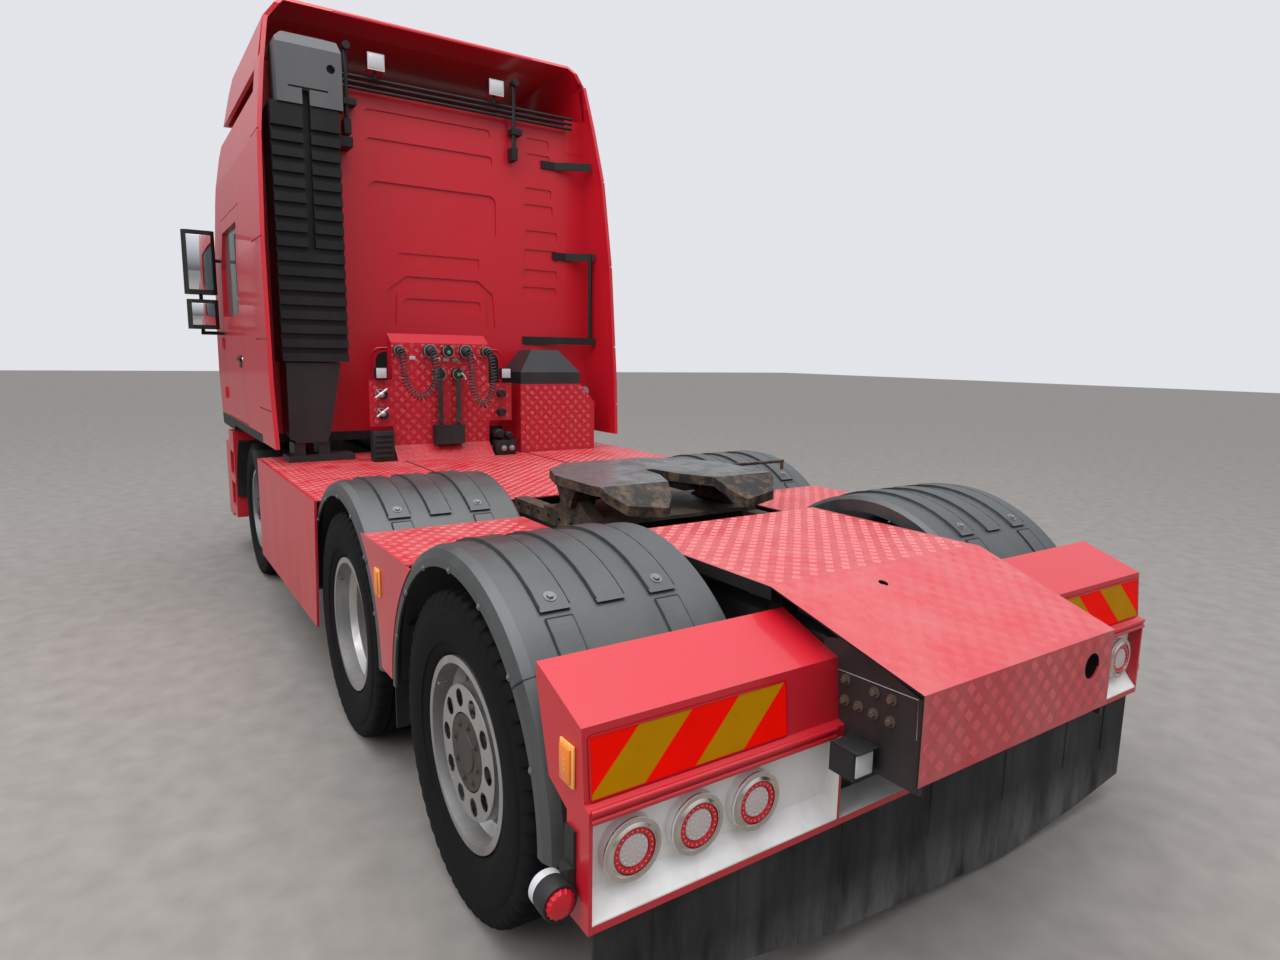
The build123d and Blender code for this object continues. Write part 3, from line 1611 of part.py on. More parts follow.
def tyre_profile(y, inner):
    """Tyre section of (y, radius) points: tread, shoulders, sidewalls and beads."""
    half = tyre_width / 2
    bead_half = rim_width / 2 - 17
    return [
        (y - bead_half, inner),
        (y - bead_half, flange_radius + 2),
        (y - half + 10, inner + 60),
        (y - half, inner + 130),
        (y - half + 18, tyre_radius - 22),
        (y - half + 44, tyre_radius),
        (y + half - 44, tyre_radius),
        (y + half - 18, tyre_radius - 22),
        (y + half, inner + 130),
        (y + half - 10, inner + 60),
        (y + bead_half, flange_radius + 2),
        (y + bead_half, inner),
    ]


def rim_profile(y, side):
    """Rim section: two flanges and a dropped well."""
    half = rim_width / 2
    section = [
        (-half, flange_radius),
        (-half + 14, flange_radius),
        (-half + 16, bead_radius - spindle_gap),
        (-half + 60, bead_radius - spindle_gap),
        (-half + 90, bead_radius - 24),
        (half - 90, bead_radius - 24),
        (half - 60, bead_radius - spindle_gap),
        (half - 16, bead_radius - spindle_gap),
        (half - 14, flange_radius),
        (half, flange_radius),
        (half, bead_radius - rim_wall),
        (half - 62, bead_radius - rim_wall - 2),
        (half - 92, bead_radius - 24 - rim_wall),
        (-half + 92, bead_radius - 24 - rim_wall),
        (-half + 62, bead_radius - rim_wall - 2),
        (-half, bead_radius - rim_wall),
    ]
    return [(y + side * across_y, radius) for across_y, radius in section]


drive_tube_end_y = hub_inner_y - 245
steer_hub_in, drive_hub_in, tag_hub_in = kingpin_y + 105, drive_tube_end_y + 2, hub_inner_y
wheel_table = (
    ("front_left", front_axle_x, steer_wheel_y, 1, False, steer_hub_in),
    ("front_right", front_axle_x, steer_wheel_y, -1, False, steer_hub_in),
    ("drive_left", drive_axle_x, rear_wheel_y, 1, True, drive_hub_in),
    ("drive_right", drive_axle_x, rear_wheel_y, -1, True, drive_hub_in),
    ("tag_left", tag_axle_x, rear_wheel_y, 1, False, tag_hub_in),
    ("tag_right", tag_axle_x, rear_wheel_y, -1, False, tag_hub_in),
)
for word, wheel_x, wheel_y, side, twin, hub_in in wheel_table:
    tyre_ys = (wheel_y, wheel_y - twin_spacing) if twin else (wheel_y,)
    with BuildPart() as tyre:
        for y in tyre_ys:
            spun(tyre_profile(side * y, bead_radius), wheel_x, axle_z)
    finish(tyre, f"tyre_{word}")
    disc_y = wheel_y - 172 if twin else wheel_y + 80
    with BuildPart() as rim:
        for y in tyre_ys:
            spun(rim_profile(side * y, side), wheel_x, axle_z)
        lip_y = disc_y + 60 if twin else disc_y - 60
        seat_radius = bead_radius - rim_wall + 2 if twin else bead_radius - 24 - rim_wall + 2
        disc = [
            (disc_y, hub_radius - 20),
            (disc_y, 170),
            (lip_y, seat_radius - 3),
            (lip_y, seat_radius),
            (lip_y - disc_wall, seat_radius),
            (lip_y - disc_wall, seat_radius - 9),
            (disc_y - disc_wall, 166),
            (disc_y - disc_wall, hub_radius - 20),
        ]
        spun([(side * y, radius) for y, radius in disc], wheel_x, axle_z)
        if twin:
            inner_disc = [(2 * disc_y - y, radius) for y, radius in disc]
            spun([(side * y, radius) for y, radius in inner_disc], wheel_x, axle_z)
        with Locations(Location((wheel_x, side * wheel_y, axle_z), (90, 0, 0))):
            with PolarLocations(hand_hole_circle, hand_hole_count):
                Cylinder(hand_hole_radius, 2 * tyre_width + 200, mode=Mode.SUBTRACT)
        hub_out = disc_y + 70 if twin else disc_y + 35
        low, high = sorted((side * hub_in, side * hub_out))
        across(wheel_x, axle_z, hub_radius, low, high)
        low, high = sorted((side * (hub_in - 1), side * (hub_out - 70)))
        across(wheel_x, axle_z, hub_bore, low, high, mode=Mode.SUBTRACT)
    finish(rim, f"rim_{word}")
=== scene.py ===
import math

import bmesh
import bpy
from mathutils import Matrix, Vector
from mathutils.bvhtree import BVHTree


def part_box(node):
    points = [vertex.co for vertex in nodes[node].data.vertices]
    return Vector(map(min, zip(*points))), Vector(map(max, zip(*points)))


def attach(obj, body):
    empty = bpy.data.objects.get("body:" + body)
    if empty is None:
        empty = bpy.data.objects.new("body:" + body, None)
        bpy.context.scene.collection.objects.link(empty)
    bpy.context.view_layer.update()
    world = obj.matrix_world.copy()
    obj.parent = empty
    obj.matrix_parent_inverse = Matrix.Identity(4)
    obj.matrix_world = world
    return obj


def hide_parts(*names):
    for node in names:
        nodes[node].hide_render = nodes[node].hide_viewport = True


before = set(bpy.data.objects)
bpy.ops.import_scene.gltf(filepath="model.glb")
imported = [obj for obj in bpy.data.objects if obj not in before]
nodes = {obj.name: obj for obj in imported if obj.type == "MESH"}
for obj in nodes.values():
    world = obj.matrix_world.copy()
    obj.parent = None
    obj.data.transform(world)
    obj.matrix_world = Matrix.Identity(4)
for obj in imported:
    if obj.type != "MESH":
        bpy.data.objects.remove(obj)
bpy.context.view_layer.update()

# Viewpoint
# The camera stands at a person's eye height, behind the left rear corner of the tractor unit.
# It looks forward and to the right, slightly down, and is rolled by one degree.
camera_place = Vector((-4.5065, 2.032, 1.722))
camera_yaw, camera_pitch, camera_roll = -0.5892, -0.1579, 0.018
focal_pixels, picture_width, sensor_width = 789.4, 1280, 36.0
ahead = Vector(
    (
        math.cos(camera_pitch) * math.cos(camera_yaw),
        math.cos(camera_pitch) * math.sin(camera_yaw),
        math.sin(camera_pitch),
    )
)
level_right = Vector((math.sin(camera_yaw), -math.cos(camera_yaw), 0))
level_up = level_right.cross(ahead)
tilted_right = math.cos(camera_roll) * level_right + math.sin(camera_roll) * level_up
tilted_up = -math.sin(camera_roll) * level_right + math.cos(camera_roll) * level_up
camera_turn = Matrix((tilted_right, tilted_up, -ahead)).transposed().to_4x4()


def placed(name, data):
    """A new object in the scene that holds this data."""
    thing = bpy.data.objects.new(name, data)
    bpy.context.scene.collection.objects.link(thing)
    return thing


camera_data = bpy.data.cameras.new("camera")
camera_data.sensor_width = sensor_width
camera_data.lens = focal_pixels / picture_width * sensor_width
camera_data.clip_end = 200
camera = placed("camera", camera_data)
camera.matrix_world = Matrix.Translation(camera_place) @ camera_turn
bpy.context.scene.camera = camera


# Painted sheet metal
# The cab, its fairings, the lamp boxes, the bumper and the skirts have red two-coat paint.
# A film of road dust lies on the paint, thicker low down, over a fine grain.
def shader_material(name, color, roughness=0.5, **sockets):
    """A Principled material with plain sockets set, and its tree and shader."""
    material = bpy.data.materials.new(name)
    material.use_nodes = True
    shader = material.node_tree.nodes["Principled BSDF"]
    shader.inputs["Base Color"].default_value = (*color, 1)
    shader.inputs["Roughness"].default_value = roughness
    for socket, value in sockets.items():
        shader.inputs[socket.replace("_", " ")].default_value = value
    return material, material.node_tree, shader


def node_in(tree, kind, inputs=(), **settings):
    """A node with its settings, its numbered or named inputs set or linked."""
    node = tree.nodes.new(kind)
    for key, value in settings.items():
        setattr(node, key, value)
    for socket, value in dict(inputs).items():
        if isinstance(value, bpy.types.NodeSocket):
            tree.links.new(value, node.inputs[socket])
        else:
            node.inputs[socket].default_value = value
    return node


def own_place(tree):
    """The place of each point in the part's own coordinates."""
    return node_in(tree, "ShaderNodeTexCoord").outputs["Object"]


def split(tree, vector):
    """The three parts of a vector, by their letters."""
    return node_in(tree, "ShaderNodeSeparateXYZ", {0: vector}).outputs


def noise(tree, place, scale, detail, roughness=0.5):
    """A cloudy pattern of values about one half."""
    inputs = {"Vector": place, "Scale": scale, "Detail": detail, "Roughness": roughness}
    return node_in(tree, "ShaderNodeTexNoise", inputs).outputs["Fac"]


def ranged(tree, value, **ends):
    """A value carried from one range to another, by ends such as From_Min and To_Max."""
    inputs = {title.replace("_", " "): end for title, end in ends.items()}
    return node_in(tree, "ShaderNodeMapRange", {"Value": value, **inputs}).outputs[0]


def reckon(tree, operation, *values, clamp=False):
    """The result of one sum on values."""
    inputs = dict(enumerate(values))
    return node_in(tree, "ShaderNodeMath", inputs, operation=operation, use_clamp=clamp).outputs[0]


def mixed(tree, share, first, second):
    """The first colour turning into the second one as the share grows."""
    return node_in(tree, "ShaderNodeMix", {0: share, 6: first, 7: second}, data_type="RGBA").outputs[2]


def node_group(name, inputs, outputs):
    """A shader group with float, colour and vector sockets, and its two end nodes."""
    group = bpy.data.node_groups.new(name, "ShaderNodeTree")
    for way, sockets in (("INPUT", inputs), ("OUTPUT", outputs)):
        for title, kind in sockets.items():
            group.interface.new_socket(title, in_out=way, socket_type="NodeSocket" + kind)
    return group, group.nodes.new("NodeGroupInput").outputs, group.nodes.new("NodeGroupOutput").inputs


surface_grain, given, gives = node_group(
    "surface grain",
    {"Scale": "Float", "Strength": "Float", "Distance": "Float"},
    {"Normal": "Vector", "Value": "Float"},
)
grain_height = noise(surface_grain, own_place(surface_grain), given["Scale"], 3)
grain_bump = node_in(
    surface_grain,
    "ShaderNodeBump",
    {"Height": grain_height, "Strength": given["Strength"], "Distance": given["Distance"]},
)
surface_grain.links.new(grain_bump.outputs["Normal"], gives["Normal"])
surface_grain.links.new(grain_height, gives["Value"])

road_film, given, gives = node_group(
    "road film",
    {"Paint": "Color", "Film": "Color", "Amount": "Float", "Low": "Float", "High": "Float", "Spots": "Float"},
    {"Color": "Color", "Mask": "Float"},
)
film_place = own_place(road_film)
film_height = split(road_film, film_place)["Z"]
low_share = ranged(road_film, film_height, From_Min=given["High"], From_Max=given["Low"])
streaks = node_in(road_film, "ShaderNodeMapping", {"Vector": film_place, "Scale": (1.0, 1.0, 0.25)})
film_clouds = noise(road_film, streaks.outputs[0], given["Spots"], 6, 0.65)
film_shape = ranged(road_film, film_clouds, From_Min=0.35, From_Max=0.75)
film_low = reckon(road_film, "ADD", low_share, 0.25, clamp=True)
film_mask = reckon(road_film, "MULTIPLY", film_low, film_shape)
film_amount = reckon(road_film, "MULTIPLY", film_mask, given["Amount"], clamp=True)
road_film.links.new(mixed(road_film, film_amount, given["Paint"], given["Film"]), gives["Color"])
road_film.links.new(film_amount, gives["Mask"])


def add_group(tree, group, **inputs):
    """Places a group in a material with its own values."""
    node = tree.nodes.new("ShaderNodeGroup")
    node.node_tree = group
    for title, value in inputs.items():
        node.inputs[title].default_value = (*value, 1) if isinstance(value, tuple) else value
    return node


def dressed(name, color, roughness, film, amount, grain, strength, low=0.3, high=1.6, spots=5.0, **sockets):
    """A material whose colour carries a film of road dust and whose surface has a grain."""
    material, tree, shader = shader_material(name, color, roughness, **sockets)
    dust = add_group(tree, road_film, Paint=color, Film=film, Amount=amount, Low=low, High=high, Spots=spots)
    fine = add_group(tree, surface_grain, Scale=grain, Strength=strength, Distance=0.002)
    rough = ranged(tree, dust.outputs["Mask"], To_Min=roughness, To_Max=min(1.0, roughness + 0.35))
    tree.links.new(dust.outputs["Color"], shader.inputs["Base Color"])
    tree.links.new(rough, shader.inputs["Roughness"])
    tree.links.new(fine.outputs["Normal"], shader.inputs["Normal"])
    return material


def coat(material, *names):
    """Gives CAD nodes a finish."""
    for name in names:
        mesh = nodes[name].data
        mesh.materials.clear()
        mesh.materials.append(material)


def paint_faces(node, choose, *materials):
    """Gives a CAD node several finishes, chosen for each face by its middle and direction."""
    coat(materials[0], node)
    mesh = nodes[node].data
    for material in materials[1:]:
        mesh.materials.append(material)
    for face in mesh.polygons:
        face.material_index = choose(face.center, face.normal)


red = (0.5, 0.004, 0.016)
dust_red = (0.28, 0.05, 0.042)
red_paint = dressed(
    "red paint", red, 0.36, dust_red, 0.3, 420, 0.03,
    high=1.1, spots=4.0, Coat_Weight=0.3, Coat_Roughness=0.08,
)
cab_panels = ("cab_rear_wall", "cab_roof", "cab_front", "cab_sides", "roof_deflector", "side_fairings")
coat(red_paint, "bumper", "entry_steps", "side_skirts", "grille_lid", "door_left", "door_right", *cab_panels)


# Frame, axles and coupling
# Black chassis paint covers the rails, and the axles are cast iron. The coupling plate is cast steel,
# greased on its top and rusty on its edges. Hexagon bolts hold the brackets to the rails.
batches = {}


def batch(name, material, slot, body="chassis"):
    """The mesh that gathers one kind of small part on a body."""
    if name not in batches:
        batches[name] = (bmesh.new(), material, body, slot)
    return batches[name][0]


def square_to(axis):
    """Two directions square to an axis, and the axis itself."""
    axis = Vector(axis).normalized()
    first = axis.cross(Vector((0, 0, 1)) if abs(axis.z) < 0.9 else Vector((1, 0, 0))).normalized()
    return first, axis.cross(first), axis


def even_angles(count):
    return [2 * math.pi * number / count for number in range(count)]


def turned(form, profile, centre, axis, steps=32, closed=False):
    """Spins a profile of (along, radius) pairs about an axis; a closed one is a ring's section."""
    first, _, axis = square_to(axis)
    line = [form.verts.new(Vector(centre) + along * axis + radius * first) for along, radius in profile]
    edges = [form.edges.new(pair) for pair in zip(line, line[1:] + line[:1] if closed else line[1:])]
    bmesh.ops.spin(
        form, geom=line + edges, cent=centre, axis=axis, angle=2 * math.pi, steps=steps, use_merge=True
    )


def bolt(form, place, axis, radius=0.009, height=0.008):
    """A hexagon head on its washer."""
    washer_radius, washer_top = 1.7 * radius, 0.25 * height
    turned(form, ((-0.001, washer_radius), (washer_top, washer_radius), (washer_top, 0)), place, axis, 14)
    turned(form, ((0, radius), (0.88 * height, radius), (height, 0.85 * radius), (height, 0)), place, axis, 6)


def tube(form, places, radius, sides=10):
    """A round bar along a line of points, closed at both ends."""
    places = [Vector(place) for place in places]
    first = square_to(places[1] - places[0])[0]
    before = None
    for number, place in enumerate(places):
        forward = (places[min(number + 1, len(places) - 1)] - places[max(number - 1, 0)]).normalized()
        first = (first - first.dot(forward) * forward).normalized()
        second = forward.cross(first)
        ring = [
            form.verts.new(place + radius * (math.cos(angle) * first + math.sin(angle) * second))
            for angle in even_angles(sides)
        ]
        if before:
            for corner in range(sides):
                form.faces.new((before[corner], before[corner - 1], ring[corner - 1], ring[corner]))
        else:
            form.faces.new(ring)
        before = ring
    form.faces.new(before)


def two_tone(tree, value, low_color, high_color, low=0.0, high=1.0):
    """A colour that runs from one tone to another as a value grows from low to high."""
    ramp = node_in(tree, "ShaderNodeValToRGB", {0: value})
    ends = ramp.color_ramp.elements
    ends[0].position, ends[1].position = low, high
    ends[0].color, ends[1].color = (*low_color, 1), (*high_color, 1)
    return ramp.outputs[0]


rust = (0.15, 0.075, 0.04)
frame_black = dressed("frame paint", (0.01, 0.01, 0.011), 0.45, (0.05, 0.036, 0.027), 0.7, 120, 0.2, high=1.3)
axle_iron = dressed("axle casting", (0.02, 0.02, 0.021), 0.6, (0.07, 0.05, 0.036), 0.8, 60, 0.35, high=1.3)
engine_paint = dressed("engine casting", (0.09, 0.13, 0.11), 0.55, (0.15, 0.12, 0.1), 0.6, 60, 0.3)
rail_rust = dressed(
    "rusty rails", (0.018, 0.014, 0.012), 0.5, (0.2, 0.13, 0.085), 1.3, 70, 0.6,
    low=0.9, high=1.05, spots=16.0,
)
rusty_bolt = dressed("rusty bolts", (0.06, 0.045, 0.038), 0.5, rust, 0.8, 200, 0.4, spots=20.0)
bright_zinc = dressed(
    "zinc fittings", (0.45, 0.45, 0.44), 0.35, (0.2, 0.16, 0.12), 0.6, 240, 0.1, Metallic=0.8
)
grease_steel, tree, shader = shader_material("greased steel", (0.1, 0.1, 0.1), 0.35, Metallic=0.25)
facing_up = split(tree, node_in(tree, "ShaderNodeNewGeometry").outputs["Normal"])["Z"]
level = ranged(tree, facing_up, From_Min=0.9, From_Max=0.98)
patches = ranged(tree, noise(tree, own_place(tree), 7.0, 8, 0.7), From_Min=0.42, From_Max=0.62, To_Min=0.35)
greased = reckon(tree, "MULTIPLY", level, patches)
flakes = noise(tree, own_place(tree), 16.0, 9, 0.75)
rusted = two_tone(tree, flakes, (0.014, 0.01, 0.008), (0.15, 0.1, 0.06), 0.46, 0.7)
tree.links.new(mixed(tree, greased, rusted, (0.15, 0.152, 0.16, 1)), shader.inputs["Base Color"])
tree.links.new(ranged(tree, greased, To_Min=0.6, To_Max=0.24), shader.inputs["Roughness"])
smears = add_group(tree, surface_grain, Scale=38.0, Strength=0.35, Distance=0.003)
tree.links.new(smears.outputs["Normal"], shader.inputs["Normal"])
coat(frame_black, "frame", "tail_plates")
coat(rail_rust, "coupling_base")
coat(axle_iron, "axles", "springs", "knuckle_left", "knuckle_right", "track_rod")
coat(engine_paint, "engine")
coat(grease_steel, "coupling_plate")
bracket_y, rail_y = 0.442, 0.43
bracket_columns, bracket_rows = (-3.146, -3.193, -3.243, -3.297), (0.869, 0.81)
rail_columns, rail_rows = (-1.9, -1.3, -0.6, -0.35, 0.3), (0.76, 0.89)
bracket_rim = ((-3.116, 0.887), (-3.374, 0.898), (-3.376, 0.794))
for side in (1, -1):
    bolts = batch("tail_plate_bolts", rusty_bolt, "frame_paint")
    for column, x in enumerate(bracket_columns):
        for row, z in enumerate(bracket_rows):
            if (column, row) != (1, 0):
                bolt(bolts, (x, side * bracket_y, z), (0, side, 0), 0.009, 0.016)
    for x in rail_columns:
        for z in rail_rows:
            bolt(bolts, (x, side * rail_y, z), (0, side, 0), 0.0105, 0.012)
    edges = batch("tail_plate_edges", bright_zinc, "frame_paint")
    tube(edges, [(x, side * (bracket_y + 0.0005), z) for x, z in bracket_rim], 0.0015, 6)

# Moulded parts
# The arches, intake, mirrors, cab floor and dashboard are moulded in grained black plastic.
# The intake's head is grey, and two chromed work lamps hang on the black rails under the deflector.
dark_plastic = dressed(
    "dark plastic", (0.011, 0.0115, 0.012), 0.5, (0.06, 0.055, 0.05), 0.4, 500, 0.25,
    high=2.4, Specular_IOR_Level=0.3,
)
rib_plastic = dressed(
    "intake ribs", (0.008, 0.008, 0.009), 0.42, (0.04, 0.038, 0.035), 0.3, 420, 0.15,
    low=1.0, high=3.5, Specular_IOR_Level=0.3,
)
head_plastic = dressed(
    "intake head", (0.085, 0.089, 0.095), 0.45, (0.14, 0.137, 0.13), 0.35, 420, 0.1,
    low=2.8, high=3.8,
)
duct_plastic = dressed(
    "air duct", (0.012, 0.011, 0.012), 0.4, (0.045, 0.036, 0.03), 0.45, 300, 0.15, high=1.9
)
black_trim = dressed(
    "black trim", (0.01, 0.01, 0.011), 0.45, (0.05, 0.047, 0.043), 0.4, 500, 0.15,
    high=2.6, Specular_IOR_Level=0.3,
)
chrome = shader_material("chrome", (0.75, 0.75, 0.76), 0.12, Metallic=1.0)[0]
coat(dark_plastic, "front_arches", "couplings", "marker_lamps", "cab_floor", "dashboard")
coat(dark_plastic, "mirrors_left", "mirrors_right")
coat(duct_plastic, "air_duct")
intake_head_z = 3.182
paint_faces("intake_stack", lambda middle, normal: int(middle.z > intake_head_z), rib_plastic, head_plastic)
roof_lamp_ys = (0.446, -0.396)


def on_roof_lamp(middle, normal):
    """Whether a face of the rails belongs to one of the two work lamps."""
    beside = min(abs(middle.y - y) for y in roof_lamp_ys)
    return int(middle.x < 1.12 and 3.515 < middle.z < 3.63 and beside < 0.057)


paint_faces("rear_rails", on_roof_lamp, black_trim, chrome)

# Mudguards
# Weathered blue-grey plastic half shells stand over the four rear wheel places. A bolt ends each raised
# band, a raised pad lies below it, and seams part the lower sections. Dark lines along the edges and
# ends of the bands and around the pads are painted shade of their rounded edges.
guard_plastic = dressed(
    "guard plastic", (0.024, 0.029, 0.031), 0.36, (0.075, 0.078, 0.07), 0.6, 380, 0.15,
    low=0.6, high=1.7, spots=6.0, Specular_IOR_Level=0.8,
)
dull_zinc = dressed("dull zinc", (0.2, 0.2, 0.2), 0.45, (0.12, 0.11, 0.1), 0.6, 240, 0.1, Metallic=0.5)
coat(guard_plastic, "mudguards")
axle_z = 0.505
drive_x, tag_x = -0.9665, -2.3365
outer_band, middle_band, inner_band = 1.087, 0.913, 0.737
band_half_width, band_end, band_top = 0.0475, 57, 0.6535
pad_half_width, pad_ends, pad_height, shell_radius = 0.038, ((126, 136), (44, 54)), 0.0045, 0.6448
pad_shade_line_half_width, pad_shade_line_radius = 0.04, 0.6475
band_shade_lines, band_end_radius = ((0.6455, 1), (0.6533, 0.95)), 0.646
lip_bolt_radius, seam_angles = 0.5812, (139, 41)
across_route = ((0.57, 0.6442), (0.9, 0.6442), (1.208, 0.6442))
lip_y = 1.2496
lip_route = ((1.208, 0.6442), (1.24, 0.631), (lip_y, 0.606), (lip_y, 0.58))


def on_guard(axle_x, y, angle, radius):
    """A point about an axle, at an angle in degrees from straight ahead."""
    turn = math.radians(angle)
    return Vector((axle_x + radius * math.cos(turn), y, axle_z + radius * math.sin(turn)))


def thicken(form, faces, depth):
    """Extrudes flat faces by a vector, so that they become a plate."""
    grown = bmesh.ops.extrude_face_region(form, geom=faces, use_keep_orig=True)["geom"]
    raised = [part for part in grown if isinstance(part, bmesh.types.BMVert)]
    bmesh.ops.translate(form, verts=raised, vec=depth)


def prism(form, outline, depth):
    """A plate from a flat outline."""
    thicken(form, [form.faces.new([form.verts.new(place) for place in outline])], depth)


guard_bolts = batch("guard_bolts", dull_zinc, "rim_metal")
guard_pads = batch("guard_pads", guard_plastic, "guard_plastic")
guard_seams_and_shade_lines = batch("guard_seams_and_shade_lines", black_trim, "dark_plastic")
for axle_x in (drive_x, tag_x):
    for side in (1, -1):
        axle = Vector((axle_x, 0, axle_z))
        for y in (side * outer_band, side * inner_band):
            for angle in (60, 120):
                top = on_guard(axle_x, y, angle, band_top)
                bolt(guard_bolts, top, top - axle - Vector((0, y, 0)), 0.011, 0.009)
            for first, last in pad_ends:
                arc = [first + (last - first) * step / 5 for step in range(6)]
                low_y, high_y = y - side * pad_half_width, y + side * pad_half_width
                for below, above in zip(arc, arc[1:]):
                    corners = ((low_y, below), (high_y, below), (high_y, above), (low_y, above))
                    out = on_guard(axle_x, 0, (below + above) / 2, pad_height) - axle
                    pad = [on_guard(axle_x, place, angle, shell_radius) for place, angle in corners]
                    prism(guard_pads, pad, out)
                # A dark line round each pad is painted shade.
                low_y, high_y = y - side * pad_shade_line_half_width, y + side * pad_shade_line_half_width
                corners = ((low_y, first), (high_y, first), (high_y, last), (low_y, last), (low_y, first))
                line = [on_guard(axle_x, place, angle, pad_shade_line_radius) for place, angle in corners]
                for start, end in zip(line, line[1:]):
                    middle = (start + end) / 2
                    centre = axle + Vector((0, middle.y, 0))
                    bulge = centre + (middle - centre).normalized() * pad_shade_line_radius
                    tube(guard_seams_and_shade_lines, (start, bulge, end), 0.0034, 5)
        # Dark lines along both edges and across both ends of each band are painted shade.
        for y in (outer_band, middle_band, inner_band):
            for edge in (-band_half_width, band_half_width):
                for radius, inset in band_shade_lines:
                    angles = range(band_end, 180 - band_end + 1, 6)
                    arc = [on_guard(axle_x, side * (y + edge * inset), angle, radius) for angle in angles]
                    tube(guard_seams_and_shade_lines, arc, 0.0025, 5)
            for angle in (band_end, 180 - band_end):
                ends = [side * (y + edge) for edge in (-band_half_width, band_half_width)]
                tube(guard_seams_and_shade_lines, [on_guard(axle_x, end, angle, band_end_radius) for end in ends], 0.003, 5)
        for angle in seam_angles:
            for route in (across_route, lip_route):
                places = [on_guard(axle_x, side * y, angle, radius) for y, radius in route]
                tube(guard_seams_and_shade_lines, places, 0.0026, 6)
        for angle in range(21, 160, 23):
            foot = on_guard(axle_x, side * (lip_y - 0.0001), angle, lip_bolt_radius) + Vector((0, 0, 0.001))
            bolt(guard_bolts, foot, (0, side, 0), 0.006, 0.005)

# Mud flaps
# A full-width rubber flap hangs from the light bar, with short upright seams. Its lower edge is worn
# pale by dust.
flap_rubber = dressed(
    "flap rubber", (0.005, 0.005, 0.006), 0.5, (0.2, 0.2, 0.19), 0.9, 220, 0.15,
    low=0.02, high=0.26, spots=6.0, Specular_IOR_Level=0.2,
)
coat(flap_rubber, "mud_flaps")
ray_trees = {}


def ray_tree(node):
    """A CAD node's surface, made ready once for rays."""
    if node not in ray_trees:
        mesh = nodes[node].data
        ray_trees[node] = BVHTree.FromPolygons(
            [vertex.co for vertex in mesh.vertices], [face.vertices for face in mesh.polygons]
        )
    return ray_trees[node]


def touch(node, start, way):
    """The point where a ray first meets a CAD node."""
    return ray_tree(node).ray_cast(Vector(start), Vector(way))[0]


flap_seams = batch("flap_seams", flap_rubber, "tyre_rubber")
seam_top_z, seam_foot_z, seam_reach, short_reach = 0.44, 0.3, 0.06, 0.01
for y in (-1.05, -0.784, -0.4, 0.0, 0.4, 0.784, 1.05):
    top, foot = (touch("mud_flaps", (-3.9, y, z), (1, 0, 0)) for z in (seam_top_z, seam_foot_z))
    if top and foot:
        has_rubber = touch("mud_flaps", foot - Vector((0.5, 0, seam_reach)), (1, 0, 0))
        reach = seam_reach if has_rubber else short_reach
        tube(flap_seams, (top, foot, foot - Vector((0, 0, reach))), 0.003, 6)

# Tyres
# Black rubber tyres for heavy loads have five ribs parted by four grooves. The shoulders are cut into
# lugs, and the middle ribs have notches. A section is turned, then its lines are moved.
tyre_rubber = dressed(
    "tyre rubber", (0.005, 0.005, 0.0055), 0.7, (0.022, 0.02, 0.017), 0.4, 300, 0.25,
    low=0.0, high=0.8, spots=9.0, Specular_IOR_Level=0.1,
)
half_section = (
    (112, 286), (112.5, 300), (121, 304), (130, 317), (137, 337), (138.5, 341), (142, 342),
    (143.5, 347), (147.5, 372), (149.5, 400), (149.5, 428), (147, 444), (144.5, 447), (143.5, 466),
    (141, 482), (137, 492), (129, 500), (116, 504), (83, 505), (80, 493), (71, 493),
    (68, 505), (34, 505), (31, 493), (22, 493), (19, 505),
)
mirrored = [(-along, radius) for along, radius in reversed(half_section)]
tyre_section = [(along / 1000, radius / 1000) for along, radius in (*half_section, *mirrored)]
lug_count = 54
lug_pitch = 2 * math.pi / lug_count
lug_lines = (0, 0.1, 0.5, 0.88)
lug_depth, notch_depth = 0.011, 0.006


def moved_lines(points, centre, axis, steps, change):
    """Moves the points of a turned form to the radius and turn that change gives for their line."""
    first, second, axis = square_to(axis)
    for point in points:
        out = point.co - Vector(centre)
        along, x, y = out.dot(axis), out.dot(first), out.dot(second)
        line = round(math.atan2(y, x) / (2 * math.pi) * steps) % steps
        radius, turn = change(line, abs(along), math.hypot(x, y))
        across = math.cos(turn) * first + math.sin(turn) * second
        point.co = Vector(centre) + along * axis + radius * across


def tread_cut(line, along, radius):
    """Lowers the shoulder between lugs, and notches the middle ribs half a pitch on."""
    lug, part = divmod(line, len(lug_lines))
    if along > 0.115 and radius > 0.48 and part in (0, 3):
        radius -= lug_depth * (1 if part == 3 else 0.95)
    elif 0.03 < along < 0.07 and radius > 0.5 and part == 2:
        radius -= notch_depth
    return radius, lug_pitch * (lug + lug_lines[part])


# Wheels
# Silver steel discs with brake dust, ten nuts each and a cast hub. The tag wheels have a bright cover
# ring with ten holes. The drive wheels are twins, and each rim has a valve stem.
rim_silver = dressed(
    "wheel silver", (0.5, 0.5, 0.5), 0.3, (0.16, 0.125, 0.1), 0.7, 150, 0.1,
    low=0.15, high=1.1, spots=8.0, Metallic=0.8,
)
hub_dark = dressed("hub casting", (0.035, 0.03, 0.027), 0.6, (0.09, 0.065, 0.045), 0.7, 90, 0.4, spots=12.0)
cover_steel = dressed(
    "cover ring", (0.6, 0.6, 0.6), 0.22, (0.25, 0.2, 0.16), 0.45, 300, 0.05,
    low=0.2, high=0.9, spots=12.0, Metallic=0.95,
)
front_x = 2.0335
twin_pitch = 0.345
hub_reach = 0.13
nut_circle, nut_radius, nut_height = 0.15, 0.0155, 0.026
